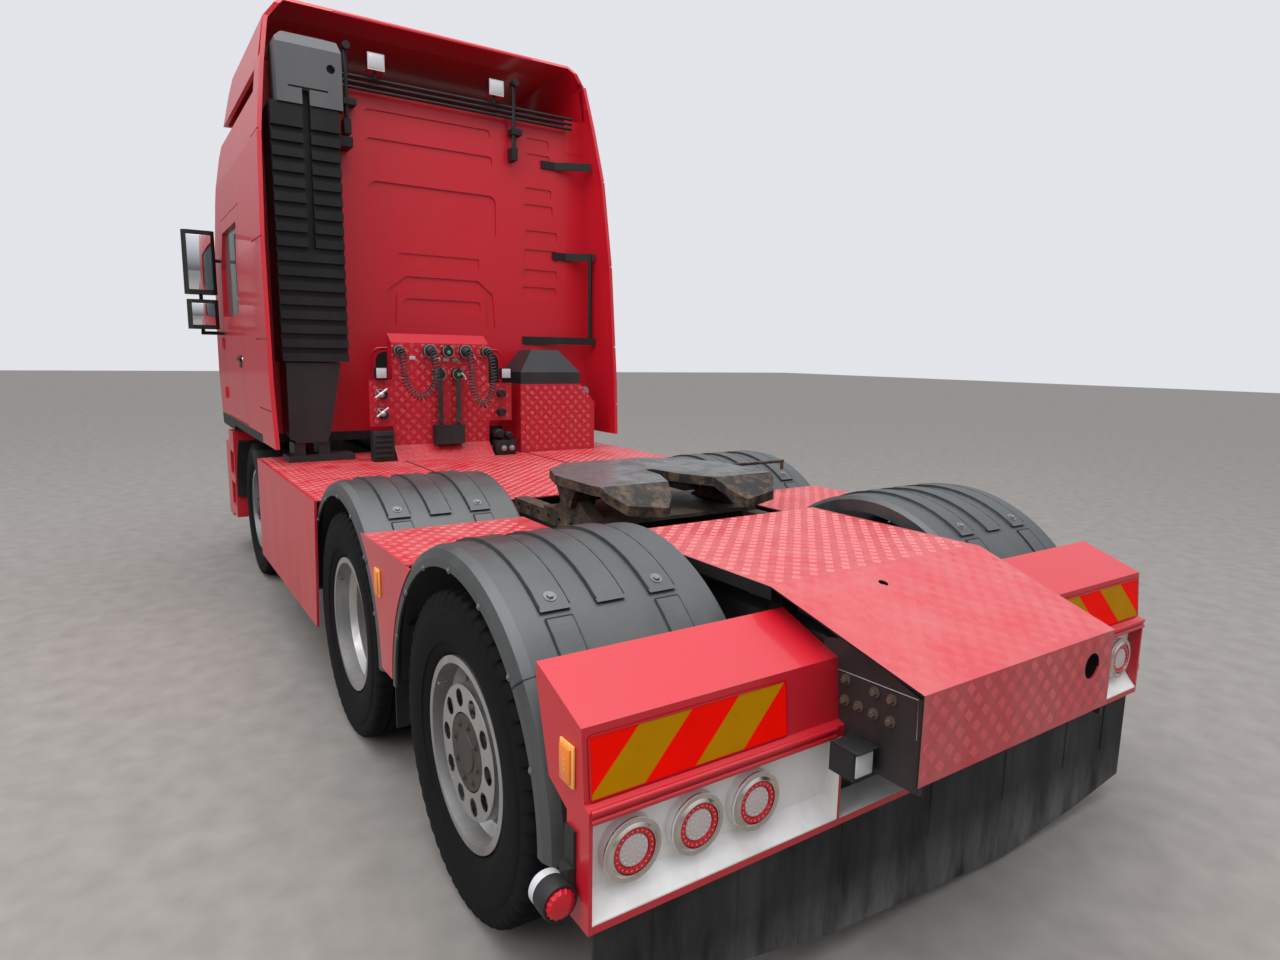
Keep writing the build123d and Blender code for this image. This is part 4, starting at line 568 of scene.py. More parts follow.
tag_nut_circle = 0.165
stem_circle, stem_turn, stem_length, stem_radius = 0.262, 0.6, 0.03, 0.005
hub_cap = ((0, 0.098), (0.006, 0.096), (0.008, 0.06), (0.02, 0.052), (0.024, 0.04), (0.024, 0))
tag_cap = ((0, 0.062), (0.004, 0.06), (0.006, 0))
cover_face = 1.202
cover_rim = ((0.003, 0.2055), (0.001, 0.2085), (-0.055, 0.2085), (-0.055, 0.205), (0, 0.205))
cover_lip = ((0.003, 0.1228), (-0.02, 0.119), (-0.02, 0.1225), (0, 0.125))
merge_distance, sharp_angle = 1e-5, math.radians(35)
wheel_table = (
    ("front_left", front_x, 1.035, 1, 1.115, 1.15),
    ("front_right", front_x, 1.035, -1, 1.115, 1.15),
    ("drive_left", drive_x, 1.09, 1, 0.918, 0.988),
    ("drive_right", drive_x, 1.09, -1, 0.918, 0.988),
    ("tag_left", tag_x, 1.09, 1, 1.17, 1.205),
    ("tag_right", tag_x, 1.09, -1, 1.17, 1.205),
)


def mesh_from(name, form):
    """The mesh of a finished bmesh, which is then freed."""
    mesh = bpy.data.meshes.new(name)
    form.to_mesh(mesh)
    form.free()
    return mesh


def show(name, form, material, body, replaces=(), smooth=True):
    """Turns a bmesh, or a curve, into a shown piece that rides on a body."""
    if isinstance(form, bmesh.types.BMesh):
        if smooth:
            bmesh.ops.remove_doubles(form, verts=form.verts, dist=merge_distance)
            bmesh.ops.recalc_face_normals(form, faces=form.faces)
        data = mesh_from(name, form)
        if smooth:
            data.shade_smooth()
            data.set_sharp_from_angle(angle=sharp_angle)
    else:
        data = form
    data.materials.append(material)
    thing = placed(name, data)
    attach(thing, body)
    if replaces:
        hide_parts(*replaces)
    return thing


def around(centre, radius, count, start=0.0):
    """Even places on a circle about an axle."""
    turns = [angle + start for angle in even_angles(count)]
    return [Vector(centre) + radius * Vector((math.cos(turn), 0, math.sin(turn))) for turn in turns]


def ring_of_holes(form, centre, axis, outer, inner, hole_circle, hole_radius, depth, count=10):
    """A flat ring with a circle of round holes, thickened along its axis."""
    first, second, axis = square_to(axis)
    upright = Matrix((-second, first, axis)).transposed().to_4x4()
    circles = [(Vector(), outer, 72), (Vector(), inner, 48)]
    for angle in even_angles(count):
        hole = hole_circle * (math.cos(angle) * first + math.sin(angle) * second)
        circles.append((hole, hole_radius, 18))
    edges = set()
    for shift, radius, sides in circles:
        turn = Matrix.Translation(Vector(centre) + shift) @ upright
        made = bmesh.ops.create_circle(form, radius=radius, segments=sides, matrix=turn)["verts"]
        edges.update(edge for vertex in made for edge in vertex.link_edges)
    filled = bmesh.ops.triangle_fill(form, use_beauty=True, edges=list(edges), normal=axis)["geom"]
    thicken(form, [part for part in filled if isinstance(part, bmesh.types.BMFace)], depth * axis)


for word, wheel_x, wheel_y, side, disc_y, hub_y in wheel_table:
    body, out, tag = "wheel_" + word, (0, side, 0), "tag" in word
    rubber = bmesh.new()
    for y in (wheel_y, wheel_y - twin_pitch) if "drive" in word else (wheel_y,):
        tyre, centre, lines = bmesh.new(), (wheel_x, side * y, axle_z), lug_count * len(lug_lines)
        turned(tyre, tyre_section, centre, out, lines, closed=True)
        moved_lines(tyre.verts, centre, out, lines, tread_cut)
        single = mesh_from("single tyre", tyre)
        rubber.from_mesh(single)
        bpy.data.meshes.remove(single)
    show("tyre_tread_" + word, rubber, tyre_rubber, body, ("tyre_" + word,))
    paint_faces(
        "rim_" + word,
        lambda middle, normal: int(math.hypot(middle.x - wheel_x, middle.z - axle_z) < hub_reach),
        rim_silver,
        hub_dark,
    )
    nuts = bmesh.new()
    disc_middle = (wheel_x, side * (disc_y - 0.001), axle_z)
    for place in around(disc_middle, tag_nut_circle if tag else nut_circle, 10):
        bolt(nuts, place, out, nut_radius, nut_height)
    cap, cap_bolt_circle, cap_rise = (tag_cap, 0.09, 0) if tag else (hub_cap, 0.078, 0.007)
    turned(nuts, cap, (wheel_x, side * hub_y, axle_z), out, 40)
    for place in around((wheel_x, side * (hub_y + cap_rise), axle_z), cap_bolt_circle, 8, 0.2):
        bolt(nuts, place, out, 0.008, 0.008)
    show("wheel_nuts_" + word, nuts, hub_dark, body)
    bright = bmesh.new()
    stem_foot = around((wheel_x, side * (wheel_y + 0.095), axle_z), stem_circle, 1, stem_turn)[0]
    tube(bright, (stem_foot, stem_foot + Vector((-0.004, side * stem_length, 0))), stem_radius, 8)
    if tag:
        centre = (wheel_x, side * cover_face, axle_z)
        ring_of_holes(bright, centre, out, 0.206, 0.1225, hole_circle=0.1665, hole_radius=0.0285, depth=0.003)
        turned(bright, cover_rim, centre, out, 72)
        turned(bright, cover_lip, centre, out, 48)
    show("wheel_cover_" + word, bright, cover_steel, body)

# Tanks
# Brushed alloy tanks hang beside the frame. Behind the cab stands a plastic oil tank with a domed
# cover and a blue-grey filler cap.
tank_alloy = dressed("tank alloy", (0.52, 0.53, 0.54), 0.33, (0.22, 0.2, 0.18), 0.6, 90, 0.08, Metallic=0.9)
dome_plastic = dressed(
    "domed cover", (0.012, 0.013, 0.015), 0.42, (0.045, 0.042, 0.038), 0.5, 260, 0.12,
    low=1.0, high=2.0,
)
cap_blue = dressed(
    "filler cap", (0.32, 0.38, 0.46), 0.3, (0.2, 0.18, 0.15), 0.4, 200, 0.1, high=1.8, Metallic=0.7
)
deck_top_z = 1.0
paint_faces(
    "tanks",
    lambda middle, normal: int(middle.z > deck_top_z) + int(middle.y < -0.925 and middle.z > 1.3),
    tank_alloy,
    dome_plastic,
    cap_blue,
)

# Chequered decks
# The decks and the stands on them are steel tread plate, painted red. Groups of five raised bars lie
# crosswise to each other; a tile of four groups is repeated over each flat stretch of plate. The bars on
# the centre deck and the stands are a lighter red than their plate, a painted highlight on the ridges.
# The plate's pale film is road dust and also a painted sky reflection that lightens the decks.
red_plate = dressed(
    "red tread plate", (0.47, 0.01, 0.024), 0.34, (0.46, 0.17, 0.155), 0.55, 260, 0.12,
    low=0.9, high=2.4, spots=7.0, Coat_Weight=0.35, Coat_Roughness=0.2,
)
# The centre deck's bars are a lighter red than the plate, a painted highlight; their pale film is road dust
# and painted sky reflection.
ridge_highlight_red = dressed(
    "tread ridge painted highlight", (0.54, 0.035, 0.045), 0.3, (0.54, 0.22, 0.2), 0.55, 260, 0.1,
    low=0.9, high=2.4, Coat_Weight=0.4, Coat_Roughness=0.15,
)
stand_red = dressed(
    "red stand plate", (0.43, 0.002, 0.014), 0.4, dust_red, 0.35, 260, 0.12,
    low=0.9, high=1.4, Coat_Weight=0.15, Coat_Roughness=0.2,
)
# The stands' bars are a lighter red than the stand plate, a painted highlight.
stand_ridge_highlight = dressed(
    "stand ridge painted highlight", (0.56, 0.012, 0.03), 0.3, dust_red, 0.3, 260, 0.1,
    low=0.9, high=1.4, Coat_Weight=0.3, Coat_Roughness=0.15,
)
gap_black = dressed(
    "shaded gap", (0.008, 0.008, 0.009), 0.6, (0.03, 0.028, 0.025), 0.5, 200, 0.2, Specular_IOR_Level=0.2
)
coat(red_plate, "deck_plates")
coat(stand_red, "deck_stands")
tail_x, bend_x = -3.3985, -2.9005
# The centre deck's upright and downward faces, all but its tail face, are painted near black as shade.
paint_faces(
    "centre_deck",
    lambda middle, normal: int(normal.z < 0.2 and not (normal.x < -0.9 and middle.x < tail_x + 0.0085)),
    red_plate,
    gap_black,
)
bar_pitch, bar_step, bars_in_group = 0.036, 0.0061, 5
bar_length, bar_width, bar_height, bar_root = 0.0265, 0.0034, 0.001, 0.0004
bar_vertices = 6


def tread_tile():
    """Two by two groups of bars, crosswise, as a mesh."""
    form = bmesh.new()
    for column, row in ((0, 0), (0, 1), (1, 0), (1, 1)):
        turn = Matrix.Rotation(math.radians(45 if (column + row) % 2 else -45), 3, "Z")
        for number in range(bars_in_group):
            made = bmesh.ops.create_cube(form, size=1)["verts"]
            for vertex in made:
                ridge = vertex.co.z > 0
                vertex.co.x *= bar_length * (0.82 if ridge else 1)
                vertex.co.y *= 0 if ridge else bar_width
                vertex.co.z = bar_height if ridge else -bar_root
            shift = (number - (bars_in_group - 1) / 2) * bar_step
            bmesh.ops.translate(form, verts=made, vec=(0, shift, 0))
            bmesh.ops.rotate(form, verts=made, matrix=turn)
            bmesh.ops.translate(form, verts=made, vec=(column * bar_pitch, row * bar_pitch, 0))
    bmesh.ops.remove_doubles(form, verts=form.verts, dist=0.0001)
    return mesh_from("tread tile", form)


tile = tread_tile()


def tread_bars(form, node, corner, along, normal, length, width):
    """Lays bars over a flat stretch of a node, and keeps those that have plate under them."""
    sheet = placed("tread sheet", tile)
    for step, count in (((2 * bar_pitch, 0, 0), length), ((0, 2 * bar_pitch, 0), width)):
        repeat = sheet.modifiers.new("repeat", "ARRAY")
        repeat.use_relative_offset = False
        repeat.use_constant_offset = True
        repeat.constant_offset_displace = step
        repeat.count = math.ceil(count / (2 * bar_pitch))
    bpy.context.view_layer.update()
    laid = bpy.data.meshes.new_from_object(sheet.evaluated_get(bpy.context.evaluated_depsgraph_get()))
    bpy.data.objects.remove(sheet)
    along = Vector(along).normalized()
    normal = Vector(normal).normalized()
    turn = Matrix((along, normal.cross(along), normal)).transposed().to_4x4()
    laid.transform(Matrix.Translation(Vector(corner)) @ turn @ Matrix.Translation((bar_pitch, bar_pitch, 0)))
    added = bmesh.new()
    added.from_mesh(laid)
    added.verts.ensure_lookup_table()
    loose = []
    cast = ray_tree(node).ray_cast
    for first in range(0, len(added.verts), bar_vertices):
        bar = added.verts[first : first + bar_vertices]
        if not all(cast(vertex.co + 0.002 * normal, -normal, 0.004)[0] for vertex in bar):
            loose.extend(bar)
    bmesh.ops.delete(added, geom=loose, context="VERTS")
    added.to_mesh(laid)
    added.free()
    form.from_mesh(laid)
    bpy.data.meshes.remove(laid)


def slab(form, low, high, bevel=0.0):
    """A box between two corners, with its edges eased."""
    made = bmesh.ops.create_cube(form, size=1)["verts"]
    for vertex in made:
        vertex.co = [low[axis] if vertex.co[axis] < 0 else high[axis] for axis in range(3)]
    if bevel:
        edges = list({edge for vertex in made for edge in vertex.link_edges})
        bmesh.ops.bevel(
            form,
            geom=edges,
            offset=bevel,
            segments=2,
            profile=0.5,
            material=-1,
            affect="EDGES",
            clamp_overlap=True,
        )


deck_z, slope_foot_z, tail_foot_z = 1.071, 0.921, 0.68
deck_front_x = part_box("centre_deck")[1].x
slope = Vector((bend_x - tail_x, 0, deck_z - slope_foot_z))
backward, forward, up = (-1, 0, 0), (1, 0, 0), (0, 0, 1)
centre_bars = bmesh.new()
for corner, along, normal, length, width in (
    ((bend_x, -0.5, deck_z), forward, up, deck_front_x - bend_x, 1.0),
    ((tail_x, -0.5, slope_foot_z), slope, (-slope.z, 0, slope.x), slope.length, 1.0),
    ((tail_x, -0.455, tail_foot_z), up, backward, slope_foot_z - tail_foot_z - 0.001, 0.91),
):
    tread_bars(centre_bars, "centre_deck", corner, along, normal, length, width)
show("centre_deck_tread", centre_bars, ridge_highlight_red, "chassis", smooth=False)

plates_low, plates_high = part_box("deck_plates")
plates = plates_high - plates_low
filler_x, filler_z = -1.93, 1.005
plate_bars = bmesh.new()
for corner, length, width in (
    ((plates_low.x, plates_low.y, deck_top_z), plates.x, plates.y),
    ((filler_x, -1.25, filler_z), 0.56, 0.66),
    ((filler_x, 0.62, filler_z), 0.56, 0.66),
):
    tread_bars(plate_bars, "deck_plates", corner, forward, up, length, width)
show("deck_plates_tread", plate_bars, red_plate, "chassis", smooth=False)
joint_half_width, joint_low_z, joint_top_z = 0.0045, 0.9995, 1.0022
joints = batch("deck_joints", gap_black, "dark_plastic")
for y in (-0.452, 0.452):
    joint_start = (plates_low.x + 1.13, y - joint_half_width, joint_low_z)
    slab(joints, joint_start, (plates_high.x, y + joint_half_width, joint_top_z))

stand_x, guard_plate_x = 0.7335, 0.7235
kick_top, kick_foot = Vector((stand_x, 0.499, 1.095)), Vector((0.6385, 0.499, deck_top_z))
stand_bars = bmesh.new()
for corner, length, width in (
    ((stand_x, -0.177, deck_top_z), 0.77, 0.68),
    ((guard_plate_x, -1.013, deck_top_z), 0.5, 0.61),
    ((stand_x, -0.349, 1.24), 0.265, 0.172),
    ((stand_x, 0.499, 1.225), 0.302, 0.15),
):
    tread_bars(stand_bars, "deck_stands", corner, up, backward, length, width)
kick = kick_foot - kick_top
tread_bars(stand_bars, "deck_stands", kick_top, kick, (-0.7071, 0, 0.7071), kick.length, 0.676)
show("deck_stands_tread", stand_bars, stand_ridge_highlight, "chassis", smooth=False)

# Marking plates
# A reflecting sheet with red and amber slanted stripes lies on the leaning rear face of each lamp box,
# inside a thin red border. The sheet has a fine comb of cells and is a little uneven in tone.
stripes, tree, shader = shader_material("marking stripes", (1, 0, 0), 0.5, Specular_IOR_Level=0.04)
stripe_pitch, stripe_start, red_from = 0.297, 1.54, 0.505
place = split(tree, own_place(tree))
slant = reckon(tree, "ADD", reckon(tree, "ABSOLUTE", place["Y"]), place["Z"])
stripe_number = reckon(tree, "DIVIDE", reckon(tree, "SUBTRACT", slant, stripe_start), stripe_pitch)
in_stripe = reckon(tree, "FRACT", stripe_number)
is_red = reckon(tree, "GREATER_THAN", in_stripe, red_from)
stripe_color = mixed(tree, is_red, (0.47, 0.215, 0.0, 1), (0.95, 0.004, 0.0, 1))
shade = ranged(tree, noise(tree, own_place(tree), 9.0, 5), To_Min=0.82, To_Max=1.08)
toned = node_in(tree, "ShaderNodeVectorMath", {0: stripe_color, "Scale": shade}, operation="SCALE")
tree.links.new(toned.outputs[0], shader.inputs["Base Color"])
comb = node_in(tree, "ShaderNodeTexVoronoi", {"Vector": own_place(tree), "Scale": 260.0}).outputs["Distance"]
comb_bump = node_in(tree, "ShaderNodeBump", {"Height": comb, "Strength": 0.15, "Distance": 0.001})
tree.links.new(comb_bump.outputs[0], shader.inputs["Normal"])
red_lens = shader_material("red lens", (0.5, 0.001, 0.012), 0.2, Coat_Weight=0.15)[0]
sheet_low_y, sheet_high_y, sheet_low_z, sheet_high_z = 0.64, 1.222, 0.755, 0.896
border_width = 0.005


def box_face(y, z, out=0.0003):
    """A point on the leaning rear face of a lamp box."""
    return Vector((-3.1265 + (z - 0.748) * 0.0872 - out, y, z))


sheet_corners = (
    (sheet_low_y, sheet_low_z),
    (sheet_high_y, sheet_low_z),
    (sheet_high_y, sheet_high_z),
    (sheet_low_y, sheet_high_z),
)
for side in (1, -1):
    outline = [box_face(side * y, z) for y, z in sheet_corners]
    prism(batch("marking_plates", stripes, "white_panel"), outline, (-0.002, 0, 0))
    border = batch("marking_plate_borders", red_lens, "lamp_lens")
    for (y0, z0), (y1, z1) in zip(sheet_corners, sheet_corners[1:] + sheet_corners[:1]):
        across = Vector((0, y1 - y0, z1 - z0)).normalized().cross(Vector((1, 0, 0))) * border_width
        start, end = box_face(side * y0, z0, 0.0024), box_face(side * y1, z1, 0.0024)
        inward = Vector((0, side * across.y, across.z))
        prism(border, [start, end, end + inward, start + inward], (-0.001, 0, 0))


# Lamp boxes
# Pale enamelled panels carry three round lamps a side, each with a red ring and a dotted clear middle.
# The pale red dots on each ring are painted highlights.
# Amber side markers sit on the boxes and between the wheels, and red and white markers hang at the corners.
# Small pale domes on the amber lenses are painted glints.
panel_white = dressed(
    "panel enamel", (0.82, 0.81, 0.79), 0.32, (0.36, 0.33, 0.3), 0.5, 200, 0.05,
    low=0.4, high=0.75, spots=6.0,
)
satin_metal = dressed(
    "satin bezel", (0.66, 0.62, 0.56), 0.2, (0.3, 0.26, 0.22), 0.4, 300, 0.03,
    spots=30.0, Metallic=1.0,
)
amber_lens = shader_material("amber lens", (0.8, 0.2, 0.005), 0.16, Coat_Weight=0.3)[0]
clear_lens = shader_material("clear lens", (0.5, 0.42, 0.4), 0.14, Coat_Weight=0.5)[0]
white_lens = shader_material("white lens", (0.5, 0.51, 0.52), 0.16, Coat_Weight=0.3)[0]
amber_rim_and_glints = shader_material("amber rim and glints", (0.85, 0.42, 0.1), 0.3)[0]
# Pale red dots on the red rings are painted highlights.
led_dot_highlight = shader_material("ring dots painted highlight", (0.9, 0.2, 0.2), 0.2, Coat_Weight=0.4)[0]
coat(panel_white, "lamp_panels")
paint_faces("round_lamps", lambda middle, normal: int(abs(normal.x) < 0.5), satin_metal, panel_white)


def in_middle_gap(middle, normal):
    """Whether a face of the light bar lies between the lamp boxes and looks neither back nor down."""
    return int(abs(middle.y) < 0.456 and middle.z < 0.72 and min(normal.x, normal.z) > -0.9)


paint_faces("light_bar", in_middle_gap, red_paint, panel_white)
lamp_x, lamp_z, lamp_ys = -3.1295, 0.602, (1.114, 0.927, 0.740)
led_ring = ((0.004, 0.057), (0.0085, 0.0558), (0.0095, 0.049), (0.0085, 0.0425), (0.004, 0.041))
middle_lens = ((0.004, 0.0408), (0.0065, 0.039), (0.008, 0.02), (0.0085, 0))
bezel = ((0.0005, 0.0762), (0.0022, 0.0748), (0.0115, 0.0592), (0.0112, 0.0575), (0.004, 0.057))
rim = ((-0.003, 0.0772), (-0.001, 0.0785), (0.002, 0.078), (0.0025, 0.0755), (0.0005, 0.075))
lamp_parts = (
    ("lamp_middles", clear_lens, "lamp_lens", 32, middle_lens),
    ("lamp_bezels", satin_metal, "lamp_body", 48, bezel),
    ("lamp_rims", chrome, "lamp_body", 48, rim),
)
lamp_dots = (
    ("lamp_dots", white_lens, 0.0065, 0.0034, ((0.034, 16), (0.0235, 11), (0.0125, 6))),
    ("lamp_ring_dots", led_dot_highlight, 0.0085, 0.0026, ((0.049, 22),)),
)
side_markers = ((-3.088, -3.024, 0.766, 0.868, 1.241), (-1.61, -1.55, 0.805, 0.912, 1.25))
corner_x, corner_y, corner_z = -3.0725, 1.29, 0.52
corner_steps = 32
red_dome = ((0.034, 0.037), (0.04, 0.0365), (0.047, 0.03), (0.05, 0.014), (0.0505, 0))
white_dome = ((0.012, 0.0435), (0.034, 0.0435), (0.044, 0.036), (0.048, 0))
collar = ((-0.037, 0.038), (-0.038, 0.0425), (-0.03, 0.0445), (0.006, 0.0445), (0.012, 0.0425))
panel_screw_x = -3.1025


def lens_facets(line, along, radius):
    """Every second line of a moulded lens lies lower."""
    return radius * (0.92 if line % 2 else 1), 2 * math.pi * line / corner_steps


for side in (1, -1):
    for y in lamp_ys:
        centre = (lamp_x, side * y, lamp_z)
        turned(batch("lamp_rings", red_lens, "lamp_lens"), led_ring, centre, backward, 40, closed=True)
        for name, material, slot, steps, profile in lamp_parts:
            turned(batch(name, material, slot), profile, centre, backward, steps)
        for name, material, out, size, rows in lamp_dots:
            dome = ((0, size), (0.5 * size, 0.8 * size), (0.7 * size, 0))
            for reach, count in rows:
                for angle in even_angles(count):
                    spot = Vector(centre) + Vector((-out, reach * math.cos(angle), reach * math.sin(angle)))
                    turned(batch(name, material, "lamp_lens"), dome, spot, backward, 8)
    for x0, x1, z0, z1, y in side_markers:
        foot, face, top = side * y, side * (y + 0.007), side * (y + 0.013)
        for name, material, slot, inset, ends, bevel in (
            ("side_marker_bases", amber_rim_and_glints, "lamp_body", 0, (foot, face), 0.003),
            ("side_marker_lenses", amber_lens, "lamp_lens", 0.008, (face, top), 0.004),
        ):
            low, high = (x0 + inset, min(ends), z0 + inset), (x1 - inset, max(ends), z1 - inset)
            slab(batch(name, material, slot), low, high, bevel)
        # Three small pale amber domes on each lens are painted glints.
        glints = batch("side_marker_painted_glints", amber_rim_and_glints, "lamp_lens")
        for rise in (-0.012, 0.0, 0.012):
            spot = ((x0 + x1) / 2, side * (y + 0.0125), (z0 + z1) / 2 + rise)
            turned(glints, ((0, 0.005), (0.0012, 0)), spot, (0, side, 0), 10)
    corner = (corner_x, side * corner_y, corner_z)
    rear_lens = batch("corner_markers_rear", red_lens, "lamp_lens")
    known = set(rear_lens.verts)
    turned(rear_lens, red_dome, corner, backward, corner_steps)
    fresh = [point for point in rear_lens.verts if point not in known]
    moved_lines(fresh, corner, backward, corner_steps, lens_facets)
    front_lens = batch("corner_markers_front", white_lens, "lamp_lens")
    turned(front_lens, white_dome, corner, forward, corner_steps)
    collars = batch("corner_marker_collars", black_trim, "dark_plastic")
    turned(collars, collar, corner, forward, corner_steps)
    for z in (0.737, 0.716):
        roll = [touch("light_bar", (-3.6, side * y, z), forward) for y in (0.475, 1.236)]
        if all(roll):
            tube(batch("ledge_rolls", red_paint, "red_paint"), roll, 0.0075, 12)
    screws = batch("panel_screws", bright_zinc, "rim_metal")
    for y in (0.475, 0.64, 0.833, 1.02, 1.208):
        for z in (0.482, 0.694):
            bolt(screws, (panel_screw_x, side * y, z), backward, 0.005, 0.004)

# Work lamps
# One square lamp under a thin hood looks back from the tail, two stand on brackets beside the
# connector stand, and the two chromed ones under the deflector have pale lenses.
rear_lens_box = ((-3.2655, 0.462, 0.661), (-3.2612, 0.525, 0.722))
hood_box = ((-3.276, 0.452, 0.7312), (-3.19, 0.535, 0.7345))
slab(batch("work_lamp_lens", white_lens, "lamp_lens"), *rear_lens_box, 0.002)
slab(batch("work_lamp_hood", black_trim, "dark_plastic"), *hood_box, 0.001)
case_half, lens_half, bracket_half, roof_lens_half = 0.038, 0.032, 0.012, 0.046
for y, bracket_foot_z in ((0.578, 1.50), (-0.29, 1.48)):
    lamp_body = batch("stand_lamps", black_trim, "dark_plastic")
    slab(lamp_body, (0.69, y - case_half, 1.535), (0.732, y + case_half, 1.61), 0.004)
    slab(lamp_body, (0.734, y - bracket_half, bracket_foot_z), (0.738, y + bracket_half, 1.56))
    lens = batch("stand_lamp_lenses", white_lens, "lamp_lens")
    slab(lens, (0.686, y - lens_half, 1.541), (0.6902, y + lens_half, 1.604), 0.002)
for y in roof_lamp_ys:
    lens = batch("roof_work_lenses", white_lens, "lamp_lens", "cab")
    slab(lens, (1.045, y - roof_lens_half, 3.53), (1.0486, y + roof_lens_half, 3.616), 0.002)

# Connector stand
# Cast sockets with zinc collars stand in two rows on the plate, some with a cable's plug and some under
# a lid. Beside them are small colour tags and dummy couplings, and valve blocks stand on the deck.
socket_z, lower_socket_z = 1.719, 1.566
cap_x, collar_back_x = 0.6835, stand_x - 0.002
socket_table = (
    (0.462, socket_z, 0.028, "plug"),
    (0.253, socket_z, 0.038, "plug"),
    (0.129, socket_z, 0.034, "lid"),
    (0.005, socket_z, 0.038, "plug"),
    (-0.145, socket_z, 0.028, "plug"),
    (0.188, lower_socket_z, 0.034, "lid"),
    (0.062, lower_socket_z, 0.034, "lid"),
)
sockets = batch("socket_collars", bright_zinc, "rim_metal")
glands = batch("cable_plugs", black_trim, "dark_plastic")
for y, z, radius, use in socket_table:
    rolled = ((0.044, radius), (0.044, radius + 0.006), (0.0485, radius + 0.006), (0.0485, radius))
    turned(sockets, rolled, (collar_back_x, y, z), backward)
    corner_reach = (radius + 0.012) * math.sqrt(0.5)
    for beside, above in ((1, 1), (-1, 1), (-1, -1), (1, -1)):
        bolt(sockets, (stand_x, y + beside * corner_reach, z + above * corner_reach), backward, 0.004, 0.005)
    if use == "plug":
        cone = ((0, radius * 0.86), (0.014, radius * 0.84), (0.024, 0.016), (0.042, 0.011), (0.042, 0.004))
        turned(glands, cone, (cap_x, y, z), backward, 24)
    else:
        lid = ((0, radius * 1.04), (0.006, radius), (0.008, radius * 0.6), (0.01, 0))
        turned(glands, lid, (cap_x, y, z), backward, 28)
        slab(glands, (0.676, y - 0.012, z + radius * 0.7), (0.73, y + 0.012, z + radius + 0.009), 0.003)
tag_green = dressed("green tag", (0.05, 0.3, 0.11), 0.4, (0.2, 0.2, 0.16), 0.3, 200, 0.05, high=2.5)
tag_back_x, tag_face_x, tag_bevel = 0.7315, 0.7337, 0.0008
green_tags = batch("stand_tags_green", tag_green, "dark_plastic")
slab(green_tags, (tag_back_x, 0.045, 1.648), (tag_face_x, 0.085, 1.668), tag_bevel)
for y, z in ((0.129, 1.712), (0.062, 1.563)):
    turned(green_tags, ((0, 0.013), (0.004, 0.011), (0.005, 0)), (0.6745, y, z), backward, 18)
pale_tags = batch("stand_tags_pale", white_lens, "white_panel")
for y, z in ((0.189, 1.655), (0.129, 1.652), (0.36, 1.66)):
    slab(pale_tags, (tag_back_x, y - 0.02, z), (tag_face_x, y + 0.02, z + 0.022), tag_bevel)
pointers = batch("socket_levers", white_lens, "white_panel")
for (y0, z0), (y1, z1), radius in (
    ((-0.005, 1.715), (-0.056, 1.667), 0.0035),
    ((0.05, 1.575), (0.016, 1.53), 0.006),
):
    middle = (0.664, (y0 + y1) / 2 - 0.006, (z0 + z1) / 2 + 0.006)
    tube(pointers, ((0.668, y0, z0), middle, (0.668, y1, z1)), radius, 8)
dummy = batch("dummy_couplings", bright_zinc, "rim_metal")
dummy_ring = ((0.03, 0.0264), (0.03, 0.03), (0.036, 0.03), (0.036, 0.0264))
dummy_cap = ((0, 0.018), (0.014, 0.018), (0.02, 0.012), (0.024, 0))
for y, z in ((0.588, 1.44), (0.582, 1.318)):
    turned(dummy, dummy_ring, (stand_x, y, z), backward, 28)
    turned(dummy, dummy_cap, (0.6735, y, z - 0.006), backward, 20)
    handle = ((0.672, y - 0.038, z + 0.03), (0.664, y, z + 0.004), (0.666, y + 0.038, z - 0.026))
    tube(dummy, handle, 0.0085)
    tube(dummy, ((0.674, y + 0.03, z + 0.028), (0.668, y + 0.006, z - 0.006)), 0.006, 8)
valves = batch("valve_blocks", black_trim, "dark_plastic")
left_valve_box = ((0.655, 0.515, 1.004), (0.735, 0.652, 1.2))
right_valve_box = ((0.645, -0.345, 1.004), (0.728, -0.195, 1.105))
rib_count, rib_low_z, rib_pitch, rib_height = 5, 1.03, 0.034, 0.014
slab(valves, *left_valve_box, 0.005)
slab(valves, *right_valve_box, 0.006)
for number in range(rib_count):
    rib_z = rib_low_z + number * rib_pitch
    slab(valves, (0.647, 0.527, rib_z), (0.657, 0.64, rib_z + rib_height), 0.002)
for y, z, radius in ((-0.23, 1.15, 0.034), (-0.305, 1.135, 0.027)):
    valve = ((-0.02, radius), (0.03, radius), (0.036, 0.7 * radius), (0.052, 0.7 * radius), (0.054, 0))
    turned(valves, valve, (0.705, y, z), backward, 24)
for y in (-0.31, -0.25):
    bolt(sockets, (0.645, y, 1.05), backward, 0.012, 0.018)

# Curly electric cables
# Two coiled rubber cables hang in loops between sockets of the connector stand, each a helix wound about
# its hanging route. The two hoses below wear sleeves of the same rubber, wound straight up.
cable_black = dressed("cable rubber", (0.02, 0.02, 0.022), 0.42, (0.18, 0.16, 0.14), 0.5, 900, 0.15, high=2.2)
cable_radius, helix_radius = 0.0038, 0.0225
turn_pitch, points_per_turn, lead_length = 0.021, 12, 0.03
hang_x = 0.5785
sleeve_radius, sleeve_bar, sleeve_pitch, sleeve_turn = 0.0155, 0.0042, 0.0105, 10
sleeve_x, sleeve_low_z, sleeve_high_z = 0.6915, 1.235, 1.54


